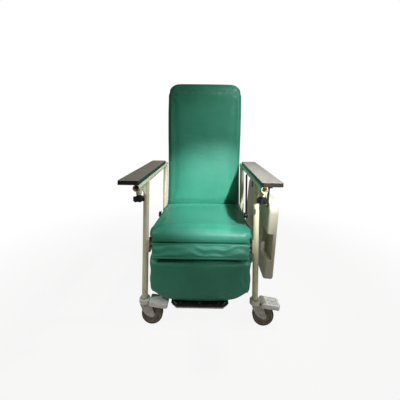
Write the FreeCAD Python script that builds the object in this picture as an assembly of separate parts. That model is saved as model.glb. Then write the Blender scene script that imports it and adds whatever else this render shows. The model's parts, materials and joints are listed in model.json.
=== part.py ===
import FreeCAD, Part
import math
import os

# A high back recliner chair on casters, in millimetres: X across, Y to the rear, Z up, floor at Z 0.
# Left and right are as seen from the front. Everything is drawn with the front legs at Y 0 and the
# middle of the seat at X 0, and moved at the end so that the origin is the middle of the base.

V = FreeCAD.Vector
SIDES = {"left": -1, "right": 1}

# Fits and gaps
RUN_FIT = 0.05
WELD_GAP = 0.1
SOFT_GAP = 0.4
NEAR = 1.0
TOUCH = 0.01
ALONG_SHARE = 0.99
PLATE_GAP = 1.5

# Tube frame
TUBE_R = 14.0
TUBE_WALL = 1.8
ARM_FRONT = -170.0
ARM_RISE = 295.0
CROSS_TUBE_Z = 205.0
PLUG_DEPTH = 18.0
PLUG_RIM = 3.0
PLUG_SEAT = 0.4
PLUG_END_GAP = 2.0
GUSSET_THICK = 4.0
GUSSET_LENGTH = 80.0
GUSSET_DROP = 58.0

# Armrests
BOARD_WIDTH = 88.0
BOARD_THICK = 18.0
BOARD_FRONT = -175.0
BOARD_REAR = 455.0
BOARD_INSET = 11.0
BOARD_CORNER_R = 9.0
BOARD_EDGE_R = 1.5
CLEAT_THICK = 3.0
CLEAT_WIDTH = 36.0
CLEAT_REACH = 62.0
CLEAT_COUNT = 3
CLEAT_END_INSET = 70.0
SCREW_R = 2.5
SCREW_HEAD_R = 5.0
SCREW_HEAD = 2.5
SCREW_BITE = 12.0

# Clamp knobs under the open front ends of the arm tubes
KNOB_SETBACK = 45.0
STUD_R = 5.0
NUT_R = 9.0
NUT_HEIGHT = 15.0
STUD_SHOW = 13.0
STUD_BACK_OFF = 0.5
KNOB_HEIGHT = 22.0
KNOB_CORE_R = 18.0
KNOB_LOBE_R = 6.5
KNOB_LOBES = 6
KNOB_HUB_R = 11.0
KNOB_HUB = 5.0

# Soft pads
PAD_BASE_ROUND = 8.0
PAD_SIDE_ROUND = 22.0
PAD_DRAW = 4.0
PAD_LOW_SHARE = 0.4
PAD_HIGH_SHARE = 0.5
CROWN_FADE_SHARE = 0.7

# Seat, tilted down to the rear about the lower front edge of its cushion
SEAT_FRONT = -18.0
SEAT_BOTTOM = 389.0
SEAT_TILT = 3.1
SEAT_WIDTH = 490.0
SEAT_DEPTH = 478.0
SEAT_SIDE_GAP = 1.9
SEAT_THICK = 60.0
SEAT_CROWN = 8.0
SEAT_FRONT_ROUND = 42.0
SEAT_REAR_ROUND = 18.0
SEAT_BOARD_THICK = 10.0
SEAT_BOARD_INSET = 14.0
RAIL_SIZE = 25.0
RAIL_WALL = 2.0
RAIL_START = 95.0
RAIL_END = 468.0
PLATE_THICK = 3.0
BRACKET_LAP = 55.0
BRACKET_RISE = 14.0
BRACKET_EDGE = 17.0
BOLT_INSET = 14.0
BOLT_PITCH = 26.0
BOLT_R = 4.0
BOLT_HEAD_R = 7.0
BOLT_HEAD = 5.0

# Back, leaning from its hinge
HINGE_RISE = 3.0
HINGE_BEHIND_LEG = 32.0
HINGE_PIN_R = 6.0
PIN_HEAD_R = 9.0
PIN_HEAD = 4.0
BACK_LEAN = 5.6
BACK_HEIGHT = 849.0
BACK_START = 14.0
BACK_SIDE_GAP = 8.9
BACK_FLARE = 16.0
BACK_SEAT_GAP = 0.5
BACK_WIDEN_FROM = 120.0
BACK_WIDEN_TO = 700.0
BACK_THICK = 52.0
BACK_CROWN = 9.0
BACK_CORNER_R = 75.0
BACK_TOP_ROUND = 34.0
BACK_BOARD_THICK = 10.0
BACK_TUBE_R = 12.5
BACK_TUBE_TOP = 755.0
BACK_CROSS_LOW = 70.0
BACK_CROSS_MIDDLE = 420.0
COVER_WALL = 3.0
COVER_PROUD = 3.0
COVER_CORNER_R = 62.0
COVER_START = 20.0
COVER_END_GAP = 24.0

# Recline linkage
RECLINE_RANGE = 45.0
LEGREST_RATIO = 1.6
CRANK_LENGTH = 80.0
CRANK_PIN_R = 5.0
EAR_R = 12.0
ARM_PLATE = 5.0
LINK_THICK = 5.0
LINK_PLAY = 2.4
LINK_HEIGHT = 12.0
LINK_EYE_R = 10.0
LINK_SLOT_PLAY = 4.5
LINK_SLOT_WALL = 4.5

# Legrest, hung from its pivot under the seat's front
PIVOT_SETBACK = 58.0
PIVOT_DROP = 47.0
LEGREST_ARM_DEPTH = 26.0
LEGREST_EYE_R = 14.0
LEGREST_FOOT = 3.0
KNEE_R = 28.0
KNEE_DROP = 24.0
KNEE_LIP = 6.0
KNEE_END_ROUND = 16.0
KNEE_END_SHARE = 0.5
KNEE_HEM_R = 9.0
LEGREST_BOARD_THICK = 10.0
CALF_LENGTH = 199.0
CALF_GAP = 1.0
CALF_THICK = 47.0
CALF_CROWN = 8.0
CALF_BEVEL = 24.0
CALF_TAPER = 17.0
CALF_WAIST_RISE = 52.0
CALF_FOOT_LAP = 2.0
CALF_CORNER_POWER = 1.4
CALF_BOARD_RISE = 44.0
BAR_R = 8.0
BAR_SETBACK = 17.0
BAR_RISE = 15.0

# Footplate, folding on the bar at the foot of the legrest
FOOT_PEDAL_GAP = 20.0
FOOT_FRONT = -34.0
FOOT_DROP = 9.0
FOOT_THICK = 14.0
FOOT_CHAMFER = 24.0
FOOT_SLEEVE_R = 12.5
FOOT_SLEEVE_LENGTH = 60.0
FOOT_SLEEVE_X = 75.0
MAT_THICK = 3.0
MAT_MARGIN = 5.0
MAT_SCREWS = 3
MAT_SCREW_PITCH = 90.0
MAT_SCREW_SETBACK = 14.0

# Recline lever beside the seat
LEVER_SETBACK = 298.0
LEVER_RISE = 31.0
LEVER_LENGTH = 235.0
LEVER_WIDTH = 18.0
LEVER_THICK = 8.0
LEVER_HUB_R = 15.0
LEVER_HUB_LENGTH = 16.0
LEVER_PLATE_WIDTH = 40.0
LEVER_CAP = 3.0

# Side tray, hanging from hinges under the right armrest
TRAY_HINGE_OUT = 68.0
TRAY_HINGE_DROP = 38.0
TRAY_LEAN = 4.5
TRAY_FRONT = -30.0
TRAY_LENGTH = 600.0
TRAY_HEIGHT = 367.0
TRAY_THICK = 45.0
TRAY_HANG = 66.0
TRAY_INNER = -2.8
TRAY_CORNER_R = 55.0
TRAY_FOOT_R = 22.0
TRAY_EDGE_R = 9.0
TRAY_GROOVE_DROP = 150.0
TRAY_GROOVE_WIDTH = 120.0
TRAY_GROOVE_DEPTH = 28.0
TRAY_GROOVE_LENGTH = 92.0
TRAY_DISH_MARGIN = 34.0
TRAY_DISH_DEPTH = 5.0
STRAP_THICK = 4.0
STRAP_WIDTH = 25.0
STRAP_LENGTH = 102.0
STRAP_INSET = 30.0
STRAP_REAR_INSET = 18.0
BARREL_R = 8.0
TRAY_PIN_R = 4.0
HANGER_EAR = 4.0
HANGER_PLAY = 0.5
HANGER_HALF = 9.0

# Casters, all turned to trail to the right
WHEEL_R = 50.0
WHEEL_WIDTH = 24.0
WHEEL_TRAIL = 38.0
TYRE_DEPTH = 7.0
TYRE_EDGE_R = 5.0
AXLE_R = 5.0
RIVET_R = 8.0
RIVET_HEAD = 2.5
HUB_R = 13.0
HUB_PROUD = 1.0
WEB_RECESS = 5.0
FORK_GAP = 2.5
FORK_WALL = 4.0
FORK_LUG_R = 13.0
FORK_FRONT_SHARE = 0.6
FORK_REAR_SHARE = 0.8
FORK_FRONT_BOW_SHARES = (0.8, 0.3)
FORK_REAR_BOW_SHARES = (0.1, 0.62)
HEAD_R = 24.0
HEAD_HEIGHT = 17.0
COLLAR_R = 16.0
COLLAR_HEIGHT = 8.0
STEM_R = 6.0
STEM_DEPTH = 14.0
SOCKET_DEPTH = 35.0
WHEEL_CLEAR = 4.0
TONGUE_HALF = 9.0
TONGUE_HEIGHT = 7.0
PEDAL_REACH = 112.0
PEDAL_HALF = 30.0
PEDAL_THICK = 3.5
PEDAL_SLOPE = 8.0
PEDAL_PIN_R = 2.0
PEDAL_PIN_X = 31.0
PEDAL_LIP = 9.0
PEDAL_SKIRT = 13.0
PEDAL_PLAY = 1.0
SWIVEL_GAP = 0.3
PEDAL_CORNER_R = 10.0

# Places that follow from the sizes above, across the chair from the seat outwards
SEAT_HALF = SEAT_WIDTH / 2
PLATE_IN = SEAT_HALF + SEAT_SIDE_GAP
PLATE_OUT = PLATE_IN + PLATE_THICK
LEG_INNER = PLATE_OUT + WELD_GAP
LEG_X = LEG_INNER + TUBE_R
TRAY_HINGE_X = LEG_X + TRAY_HINGE_OUT
LINK_OUT = PLATE_IN - LINK_PLAY
LINK_IN = LINK_OUT - LINK_THICK
ARM_PLATE_OUT = LINK_IN - PLATE_GAP
LEGREST_ARM_X = ARM_PLATE_OUT - ARM_PLATE
BACK_TUBE_X = ARM_PLATE_OUT - BACK_TUBE_R - WELD_GAP
BACK_HALF_LOW = PLATE_IN - BACK_SIDE_GAP
BACK_HALF_HIGH = BACK_HALF_LOW + BACK_FLARE
COVER_HALF = BACK_HALF_LOW + COVER_PROUD
FOOT_HALF = LEG_X - PEDAL_REACH - FOOT_PEDAL_GAP
CALF_FOOT_HALF = FOOT_HALF + CALF_FOOT_LAP
CALF_HALF = SEAT_HALF
CALF_WAIST_HALF = CALF_HALF - CALF_TAPER

# Heights
HEAD_TOP = 2 * WHEEL_R + HEAD_HEIGHT
CASTER_TOP = HEAD_TOP + COLLAR_HEIGHT
ARM_Z = SEAT_BOTTOM + ARM_RISE
BOARD_BOTTOM = ARM_Z + TUBE_R + WELD_GAP
TUBE_BOTTOM = ARM_Z - TUBE_R
HINGE_Z = SEAT_BOTTOM + HINGE_RISE
PIVOT_Z = SEAT_BOTTOM - PIVOT_DROP
CALF_TOP = PIVOT_Z - KNEE_DROP - CALF_GAP
CALF_BOTTOM = CALF_TOP - CALF_LENGTH
BAR_Z = CALF_BOTTOM + BAR_RISE
FOOT_TOP = CALF_BOTTOM - FOOT_DROP
LEVER_Z = SEAT_BOTTOM + LEVER_RISE
TRAY_HINGE_Z = BOARD_BOTTOM - TRAY_HINGE_DROP

# Places from front to rear
SEAT_REAR = SEAT_FRONT + SEAT_DEPTH
BACK_FACE = BACK_TUBE_R + WELD_GAP + BACK_BOARD_THICK + SOFT_GAP + BACK_THICK + BACK_CROWN
HINGE_Y = SEAT_REAR + BACK_SEAT_GAP + BACK_FACE
WHEELBASE = HINGE_Y - HINGE_BEHIND_LEG
ARM_REAR = WHEELBASE + TUBE_R
KNOB_Y = ARM_FRONT + KNOB_SETBACK
PIVOT_Y = SEAT_FRONT + PIVOT_SETBACK
BAR_Y = PIVOT_Y + BAR_SETBACK
LEVER_Y = SEAT_FRONT + LEVER_SETBACK

# Cranks of the recline linkage, set to swing evenly about the vertical
HALF_RECLINE = math.radians(RECLINE_RANGE / 2)
HALF_RAISE = math.radians(RECLINE_RANGE * LEGREST_RATIO / 2)
LEGREST_CRANK = CRANK_LENGTH * math.sin(HALF_RECLINE) / math.sin(HALF_RAISE)
BACK_PIN = V(
    0, HINGE_Y + CRANK_LENGTH * math.sin(HALF_RECLINE), HINGE_Z - CRANK_LENGTH * math.cos(HALF_RECLINE)
)
LEGREST_PIN = V(
    0, PIVOT_Y + LEGREST_CRANK * math.sin(HALF_RAISE), PIVOT_Z - LEGREST_CRANK * math.cos(HALF_RAISE)
)


# Small shapes

def box(x0, x1, y0, y1, z0, z1):
    low = V(min(x0, x1), y0, z0)
    return Part.makeBox(abs(x1 - x0), y1 - y0, z1 - z0, low)


def rod(start, end, radius):
    return Part.makeCylinder(radius, (end - start).Length, start, end - start)


def tube(start, end, radius, wall):
    return rod(start, end, radius).cut(rod(start, end, radius - wall))


def cross_rod(x0, x1, y, z, radius):
    return rod(V(x0, y, z), V(x1, y, z), radius)


def side_plate(points, x0, x1):
    """A flat plate with its outline in the YZ plane, from x0 to x1."""
    corners = [V(x0, y, z) for y, z in points]
    face = Part.Face(Part.makePolygon(corners + corners[:1]))
    return face.extrude(V(x1 - x0, 0, 0))


def strap_plate(start, end, radius, x0, x1):
    """A flat bar with round ends from start to end, points of the YZ plane."""
    along = end - start
    across = V(0, -along.z, along.y).normalize() * radius
    corners = [start + across, end + across, end - across, start - across]
    bar = side_plate([(p.y, p.z) for p in corners], x0, x1)
    for centre in (start, end):
        bar = bar.fuse(cross_rod(x0, x1, centre.y, centre.z, radius))
    return bar.removeSplitter()


def upright_edges(shape):
    return [e for e in shape.Edges if abs(e.tangentAt(e.FirstParameter).z) > ALONG_SHARE]


def group(shapes):
    return Part.makeCompound(list(shapes))


def mirrored(shape):
    return shape.mirror(V(0, 0, 0), V(1, 0, 0))


def both(shape):
    """The shape made for the right side, and its mirror image on the left."""
    return group([shape, mirrored(shape)])


# Placing of the tilted groups

def tilt_seat(shape):
    shape.rotate(V(0, 0, 0), V(1, 0, 0), -SEAT_TILT)
    shape.translate(V(0, SEAT_FRONT, SEAT_BOTTOM))
    return shape


def lean_back(shape):
    shape.rotate(V(0, 0, 0), V(1, 0, 0), -BACK_LEAN)
    shape.translate(V(0, HINGE_Y, HINGE_Z))
    return shape


def hang_tray(shape):
    shape.rotate(V(0, 0, 0), V(0, 1, 0), TRAY_LEAN)
    shape.translate(V(TRAY_HINGE_X, 0, TRAY_HINGE_Z))
    return shape


def seat_point(y, z):
    """A point of the tilted seat, from its place along and above the cushion's underside."""
    tilt = math.radians(SEAT_TILT)
    return V(
        0,
        SEAT_FRONT + y * math.cos(tilt) + z * math.sin(tilt),
        SEAT_BOTTOM - y * math.sin(tilt) + z * math.cos(tilt),
    )


# Soft pads: lofts through rounded sections with a crowned face

def end_inset(distance, radius):
    """How far a round of this radius draws a surface in, at a distance from the end."""
    if distance >= radius:
        return 0.0
    return radius - math.sqrt(radius ** 2 - (radius - distance) ** 2)


def arc(a, b, c):
    return Part.Arc(a, b, c).toShape()


def line(a, b):
    return Part.makeLine(a, b)


def pad_section(place, half, base, face, crown, base_round, face_round):
    """A closed section: flat base, straight sides, rounded corners and a crowned face."""
    low = min(base_round, PAD_LOW_SHARE * (face - base))
    high = min(face_round, PAD_HIGH_SHARE * (face - base))
    turn = 1 - math.sqrt(0.5)
    profile = [
        (half - low, base),
        (half - low * turn, base + low * turn),
        (half, base + low),
        (half, face - high),
        (half - high * turn, face - high * turn),
        (half - high, face),
    ]
    right = [place(u, v) for u, v in profile]
    left = [place(-u, v) for u, v in profile]
    edges = [
        line(left[0], right[0]),
        arc(right[0], right[1], right[2]),
        line(right[2], right[3]),
        arc(right[3], right[4], right[5]),
        arc(right[5], place(0, face + crown), left[5]),
        arc(left[5], left[4], left[3]),
        line(left[3], left[2]),
        arc(left[2], left[1], left[0]),
    ]
    return Part.Wire(edges)


def end_steps(radius):
    """Distances from a rounded end at which its sections lie."""
    return [radius * (1 - math.cos(math.radians(a))) for a in (0, 18, 36, 56, 90)]


def both_ends(length, near_round, far_round, middles):
    near = end_steps(near_round)
    far = [length - d for d in reversed(end_steps(far_round))]
    return near + middles + far


def seat_cushion():
    sections = []
    middles = [SEAT_DEPTH * share for share in (0.25, 0.5, 0.75)]
    for y in both_ends(SEAT_DEPTH, SEAT_FRONT_ROUND, SEAT_REAR_ROUND, middles):
        rear = SEAT_DEPTH - y
        front_in = end_inset(y, SEAT_FRONT_ROUND)
        rear_in = end_inset(rear, SEAT_REAR_ROUND)
        draw = PAD_DRAW * math.sin(math.pi * y / SEAT_DEPTH)
        half = SEAT_HALF - draw - front_in - rear_in
        base = PAD_BASE_ROUND * (front_in / SEAT_FRONT_ROUND)
        face = SEAT_THICK - front_in - rear_in
        drawn = front_in / SEAT_FRONT_ROUND + rear_in / SEAT_REAR_ROUND
        crown = SEAT_CROWN * (1 - CROWN_FADE_SHARE * drawn)
        sections.append(
            pad_section(
                lambda u, v, y=y: V(u, y, v), half, base, face, crown, PAD_BASE_ROUND, PAD_SIDE_ROUND
            )
        )
    return tilt_seat(Part.makeLoft(sections, True, True))


def smooth_step(value, start, end):
    share = min(max((value - start) / (end - start), 0.0), 1.0)
    return share * share * (3 - 2 * share)


def back_front():
    """Local Y of the back board's front, where the cushion's base lies."""
    return -(BACK_TUBE_R + WELD_GAP + BACK_BOARD_THICK + SOFT_GAP)


def back_cushion():
    length = BACK_HEIGHT - BACK_START
    middles = [length * share for share in (0.15, 0.3, 0.45, 0.6, 0.75)]
    base_y = back_front()
    sections = []
    for distance in both_ends(length, PAD_SIDE_ROUND, BACK_CORNER_R, middles):
        to_top = length - distance
        widening = smooth_step(distance, BACK_WIDEN_FROM, BACK_WIDEN_TO)
        bottom_in = end_inset(distance, PAD_SIDE_ROUND)
        corner_in = end_inset(to_top, BACK_CORNER_R)
        half = BACK_HALF_LOW + (BACK_HALF_HIGH - BACK_HALF_LOW) * widening - bottom_in - corner_in
        top_in = end_inset(to_top, BACK_TOP_ROUND)
        face = BACK_THICK - bottom_in - top_in
        crown = BACK_CROWN * (1 - CROWN_FADE_SHARE * (bottom_in / PAD_SIDE_ROUND + top_in / BACK_TOP_ROUND))
        z = BACK_START + distance
        sections.append(
            pad_section(
                lambda u, v, z=z: V(u, base_y - v, z), half, 0.0, face, crown, PAD_BASE_ROUND, PAD_SIDE_ROUND
            )
        )
    return lean_back(Part.makeLoft(sections, True, True))


def calf_half(above_foot):
    """Half the calf pad's width: a slow taper to the waist, then cut-off lower corners."""
    if above_foot < CALF_WAIST_RISE:
        left = 1 - above_foot / CALF_WAIST_RISE
        rise = (1 - left ** CALF_CORNER_POWER) ** (1 / CALF_CORNER_POWER)
        return CALF_FOOT_HALF + (CALF_WAIST_HALF - CALF_FOOT_HALF) * rise
    taper = smooth_step(above_foot, CALF_WAIST_RISE, CALF_TOP - CALF_BOTTOM)
    return CALF_WAIST_HALF + (CALF_HALF - CALF_WAIST_HALF) * taper


def calf_pad():
    length = CALF_TOP - CALF_BOTTOM
    corner = [CALF_WAIST_RISE * share for share in (0.0, 0.1, 0.3, 0.55, 0.8, 1.0)]
    top = [length - d for d in reversed(end_steps(CALF_BEVEL))]
    sections = []
    for rise in corner + [length * 0.55] + top:
        foot_in = end_inset(rise, PAD_SIDE_ROUND)
        top_in = end_inset(length - rise, CALF_BEVEL)
        half = calf_half(rise) - end_inset(length - rise, PAD_BASE_ROUND)
        face = CALF_THICK - foot_in - top_in
        crown = CALF_CROWN * (1 - CROWN_FADE_SHARE * (foot_in / PAD_SIDE_ROUND + top_in / CALF_BEVEL))
        z = CALF_BOTTOM + rise
        sections.append(
            pad_section(
                lambda u, v, z=z: V(u, PIVOT_Y - v, z),
                half, 0.0, face, crown, PAD_BASE_ROUND, PAD_SIDE_ROUND,
            )
        )
    return Part.makeLoft(sections, True, True)


def knee_section(x, radius):
    """Section of the knee roll: round about the legrest pivot, with a lip behind and a rolled hem."""
    def at(y, z):
        return V(x, PIVOT_Y + y, PIVOT_Z + z)

    slant = radius * math.sqrt(0.5)
    hem = KNEE_HEM_R * (1 - math.sqrt(0.5))
    edges = [
        line(at(-radius, KNEE_HEM_R - KNEE_DROP), at(-radius, 0)),
        arc(at(-radius, 0), at(-slant, slant), at(0, radius)),
        arc(at(0, radius), at(slant, slant), at(radius, 0)),
        line(at(radius, 0), at(radius, -KNEE_LIP)),
        line(at(radius, -KNEE_LIP), at(0, -KNEE_LIP)),
        line(at(0, -KNEE_LIP), at(0, -KNEE_DROP)),
        line(at(0, -KNEE_DROP), at(KNEE_HEM_R - radius, -KNEE_DROP)),
        arc(
            at(KNEE_HEM_R - radius, -KNEE_DROP),
            at(hem - radius, hem - KNEE_DROP),
            at(-radius, KNEE_HEM_R - KNEE_DROP),
        ),
    ]
    return Part.Wire(edges)


def knee_pad():
    half = LEGREST_ARM_X - PLATE_GAP
    steps = both_ends(2 * half, KNEE_END_ROUND, KNEE_END_ROUND, [half])
    sections = []
    for distance in steps:
        from_end = min(distance, 2 * half - distance)
        draw = KNEE_END_SHARE * end_inset(from_end, KNEE_END_ROUND)
        sections.append(knee_section(distance - half, KNEE_R - draw))
    return Part.makeLoft(sections, True, True)


# Tube frame

def arm_axis(side):
    x = side * LEG_X
    return V(x, ARM_FRONT, ARM_Z), V(x, ARM_REAR, ARM_Z)


def arm_tube(side):
    start, end = arm_axis(side)
    stud_hole = rod(V(start.x, KNOB_Y, TUBE_BOTTOM - NEAR), V(start.x, KNOB_Y, ARM_Z), STUD_R + RUN_FIT)
    plug_seat = rod(end - V(0, PLUG_DEPTH, 0), end, TUBE_R - TUBE_WALL + PLUG_SEAT)
    return tube(start, end, TUBE_R, TUBE_WALL).cut(stud_hole).cut(plug_seat)


def arm_cope(side):
    """What a tube or plate that meets the arm tube is cut back by."""
    start, end = arm_axis(side)
    return rod(start, end, TUBE_R + WELD_GAP)


def leg(side, y):
    x = side * LEG_X
    return tube(V(x, y, CASTER_TOP), V(x, y, ARM_Z), TUBE_R, TUBE_WALL).cut(arm_cope(side))


def rear_cross_tube():
    ends = [V(side * LEG_X, WHEELBASE, CROSS_TUBE_Z) for side in SIDES.values()]
    cross = tube(ends[0], ends[1], TUBE_R, TUBE_WALL)
    for end in ends:
        cross = cross.cut(rod(end - V(0, 0, 2 * TUBE_R), end + V(0, 0, 2 * TUBE_R), TUBE_R + WELD_GAP))
    return cross


def arm_gusset():
    front = -TUBE_R - WELD_GAP
    top = TUBE_BOTTOM - WELD_GAP
    outline = [(front, top), (front - GUSSET_LENGTH, top), (front, top - GUSSET_DROP)]
    return side_plate(outline, LEG_X - GUSSET_THICK / 2, LEG_X + GUSSET_THICK / 2)


def tube_plug():
    rear = V(LEG_X, ARM_REAR, ARM_Z)
    front = rear - V(0, PLUG_DEPTH - PLUG_END_GAP, 0)
    body = rod(front, rear, TUBE_R - TUBE_WALL + PLUG_SEAT - RUN_FIT)
    return body.fuse(rod(rear, rear + V(0, PLUG_RIM, 0), TUBE_R)).removeSplitter()


# Armrests

def cleat_places():
    first = BOARD_FRONT + CLEAT_END_INSET
    last = BOARD_REAR - CLEAT_END_INSET
    return [first + (last - first) * i / (CLEAT_COUNT - 1) for i in range(CLEAT_COUNT)]


def armrest_screw_places():
    """Each cleat's two screws, near its outer end."""
    x = LEG_X + CLEAT_REACH - 2 * SCREW_HEAD_R
    offset = CLEAT_WIDTH / 4
    return [V(x, y + side * offset, BOARD_BOTTOM) for y in cleat_places() for side in SIDES.values()]


def screw(foot, up, grip, bite):
    """A screw whose head sits at foot, under a plate of thickness grip, with its point along up."""
    head = rod(foot - up * SCREW_HEAD, foot, SCREW_HEAD_R)
    return head.fuse(rod(foot, foot + up * (grip + bite), SCREW_R)).removeSplitter()


def drilled(shape, foot, along, radius=SCREW_R):
    return shape.cut(rod(foot, foot + along, radius + RUN_FIT))


def armrest_board():
    inner = LEG_X - BOARD_INSET
    board = box(
        inner, inner + BOARD_WIDTH, BOARD_FRONT, BOARD_REAR, BOARD_BOTTOM, BOARD_BOTTOM + BOARD_THICK
    )
    board = board.makeFillet(BOARD_CORNER_R, upright_edges(board))
    top = [e for e in board.Edges if e.BoundBox.ZMin > BOARD_BOTTOM + BOARD_THICK - TOUCH]
    board = board.makeFillet(BOARD_EDGE_R, top)
    for place in armrest_screw_places():
        board = drilled(board, place, V(0, 0, SCREW_BITE))
    return board


def armrest_cleats():
    cleats = []
    for y in cleat_places():
        cleat = box(
            LEG_X, LEG_X + CLEAT_REACH, y - CLEAT_WIDTH / 2, y + CLEAT_WIDTH / 2,
            BOARD_BOTTOM - CLEAT_THICK, BOARD_BOTTOM,
        )
        cleats.append(cleat.cut(arm_cope(1)))
    cleats = group(cleats)
    for place in armrest_screw_places():
        cleats = drilled(cleats, place - V(0, 0, CLEAT_THICK), V(0, 0, CLEAT_THICK))
    return cleats


def armrest_screws():
    up = V(0, 0, 1)
    feet = [place - up * CLEAT_THICK for place in armrest_screw_places()]
    return group(screw(foot, up, CLEAT_THICK, SCREW_BITE) for foot in feet)


# Clamp knobs

def clamp_nut():
    low = V(LEG_X, KNOB_Y, TUBE_BOTTOM - NUT_HEIGHT)
    corners = [
        low + V(NUT_R * math.cos(math.radians(60 * i)), NUT_R * math.sin(math.radians(60 * i)), 0)
        for i in range(6)
    ]
    nut = Part.Face(Part.makePolygon(corners + corners[:1])).extrude(V(0, 0, NUT_HEIGHT + TUBE_R))
    return drilled(nut.cut(arm_cope(1)), low, V(0, 0, NUT_HEIGHT + TUBE_R), STUD_R)


def clamp_knob(side):
    centre = V(side * LEG_X, KNOB_Y, TUBE_BOTTOM - NUT_HEIGHT - STUD_SHOW - KNOB_HEIGHT)
    up = V(0, 0, 1)
    knob = rod(centre, centre + up * (KNOB_HEIGHT - KNOB_HUB), KNOB_CORE_R)
    knob = knob.fuse(rod(centre, centre + up * KNOB_HEIGHT, KNOB_HUB_R))
    for i in range(KNOB_LOBES):
        turn = 2 * math.pi * i / KNOB_LOBES
        lobe = centre + V(math.cos(turn), math.sin(turn), 0) * KNOB_CORE_R
        knob = knob.fuse(rod(lobe, lobe + up * (KNOB_HEIGHT - KNOB_HUB), KNOB_LOBE_R))
    knob = knob.removeSplitter()
    stud_low = centre + up * (KNOB_HEIGHT / 2)
    stud_top = V(centre.x, centre.y, TUBE_BOTTOM + TUBE_WALL - STUD_BACK_OFF)
    knob = drilled(knob, stud_low, up * KNOB_HEIGHT, STUD_R)
    return group([knob, rod(stud_low, stud_top, STUD_R)])


# Seat

def rail_top():
    return -(SOFT_GAP + SEAT_BOARD_THICK)


def square_tube_y(x0, x1, y0, y1, z1):
    outer = box(x0, x1, y0, y1, z1 - RAIL_SIZE, z1)
    inner = box(
        min(x0, x1) + RAIL_WALL, max(x0, x1) - RAIL_WALL, y0, y1, z1 - RAIL_SIZE + RAIL_WALL, z1 - RAIL_WALL
    )
    return outer.cut(inner)


def bolt_places():
    """Bolts of the seat brackets along the rail, as distances from the seat's front."""
    front = [RAIL_START + BOLT_INSET, RAIL_START + BOLT_INSET + BOLT_PITCH]
    rear = [RAIL_END - BOLT_INSET - BOLT_PITCH, RAIL_END - BOLT_INSET]
    return front + rear


def bolt_centre(y):
    return seat_point(y, rail_top() - RAIL_SIZE / 2)


def seat_rail():
    rail = tilt_seat(square_tube_y(PLATE_IN - RAIL_SIZE, PLATE_IN, RAIL_START, RAIL_END, rail_top()))
    for y in bolt_places():
        centre = bolt_centre(y)
        rail = rail.cut(cross_rod(PLATE_IN - 2 * RAIL_WALL, PLATE_IN, centre.y, centre.z, BOLT_R + RUN_FIT))
    return rail


def seat_cross_bars():
    half = PLATE_IN - RAIL_SIZE
    bars = []
    for y in (RAIL_START, RAIL_END - RAIL_SIZE):
        outer = box(-half, half, y, y + RAIL_SIZE, rail_top() - RAIL_SIZE, rail_top())
        inner = box(
            -half, half, y + RAIL_WALL, y + RAIL_SIZE - RAIL_WALL,
            rail_top() - RAIL_SIZE + RAIL_WALL, rail_top() - RAIL_WALL,
        )
        bars.append(tilt_seat(outer.cut(inner)))
    return group(bars)


def seat_board():
    half = SEAT_HALF - SEAT_BOARD_INSET / 2
    return tilt_seat(
        box(-half, half, SEAT_BOARD_INSET, SEAT_DEPTH - SEAT_BOARD_INSET, rail_top(), -SOFT_GAP)
    )


def pivot_centres():
    return [(PIVOT_Y, PIVOT_Z), (HINGE_Y, HINGE_Z)]


def seat_brackets():
    """Front and rear plates that join the rail to the legs and carry the two pivots."""
    low = rail_top() - RAIL_SIZE
    lap_front = RAIL_START + BRACKET_LAP
    lap_rear = RAIL_END - BRACKET_LAP
    front_corners = [seat_point(lap_front, rail_top()), seat_point(lap_front, low)]
    front = [
        (-TUBE_R, PIVOT_Z),
        (-TUBE_R, SEAT_BOTTOM + BRACKET_RISE),
        (TUBE_R, SEAT_BOTTOM + BRACKET_RISE),
        (front_corners[0].y, front_corners[0].z),
        (front_corners[1].y, front_corners[1].z),
        (PIVOT_Y + BRACKET_EDGE, PIVOT_Z - BRACKET_EDGE),
        (PIVOT_Y - BRACKET_EDGE, PIVOT_Z - BRACKET_EDGE),
    ]
    rear_corners = [seat_point(lap_rear, low), seat_point(lap_rear, rail_top())]
    rear = [
        (rear_corners[0].y, rear_corners[0].z),
        (rear_corners[1].y, rear_corners[1].z),
        (WHEELBASE - TUBE_R, HINGE_Z + BRACKET_EDGE),
        (HINGE_Y + BRACKET_EDGE, HINGE_Z + BRACKET_EDGE),
        (HINGE_Y + BRACKET_EDGE, HINGE_Z - BRACKET_EDGE),
        (WHEELBASE + TUBE_R, rear_corners[0].z),
    ]
    plates = group(side_plate(outline, PLATE_IN, PLATE_OUT) for outline in (front, rear))
    for y, z in pivot_centres():
        plates = plates.cut(cross_rod(PLATE_IN, PLATE_OUT, y, z, HINGE_PIN_R + RUN_FIT))
    for y in bolt_places():
        centre = bolt_centre(y)
        plates = plates.cut(cross_rod(PLATE_IN, PLATE_OUT, centre.y, centre.z, BOLT_R + RUN_FIT))
    return plates


def seat_bolts():
    bolts = []
    for y in bolt_places():
        centre = bolt_centre(y)
        shank = cross_rod(PLATE_IN - 2 * RAIL_WALL, PLATE_OUT, centre.y, centre.z, BOLT_R)
        head = cross_rod(PLATE_OUT, PLATE_OUT + BOLT_HEAD, centre.y, centre.z, BOLT_HEAD_R)
        bolts.append(shank.fuse(head).removeSplitter())
    return group(bolts)


def pivot_pins():
    pins = []
    for y, z in pivot_centres():
        shank = cross_rod(LEGREST_ARM_X, PLATE_OUT, y, z, HINGE_PIN_R)
        head = cross_rod(PLATE_OUT, PLATE_OUT + PIN_HEAD, y, z, PIN_HEAD_R)
        pins.append(shank.fuse(head).removeSplitter())
    return group(pins)


# Back

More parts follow.
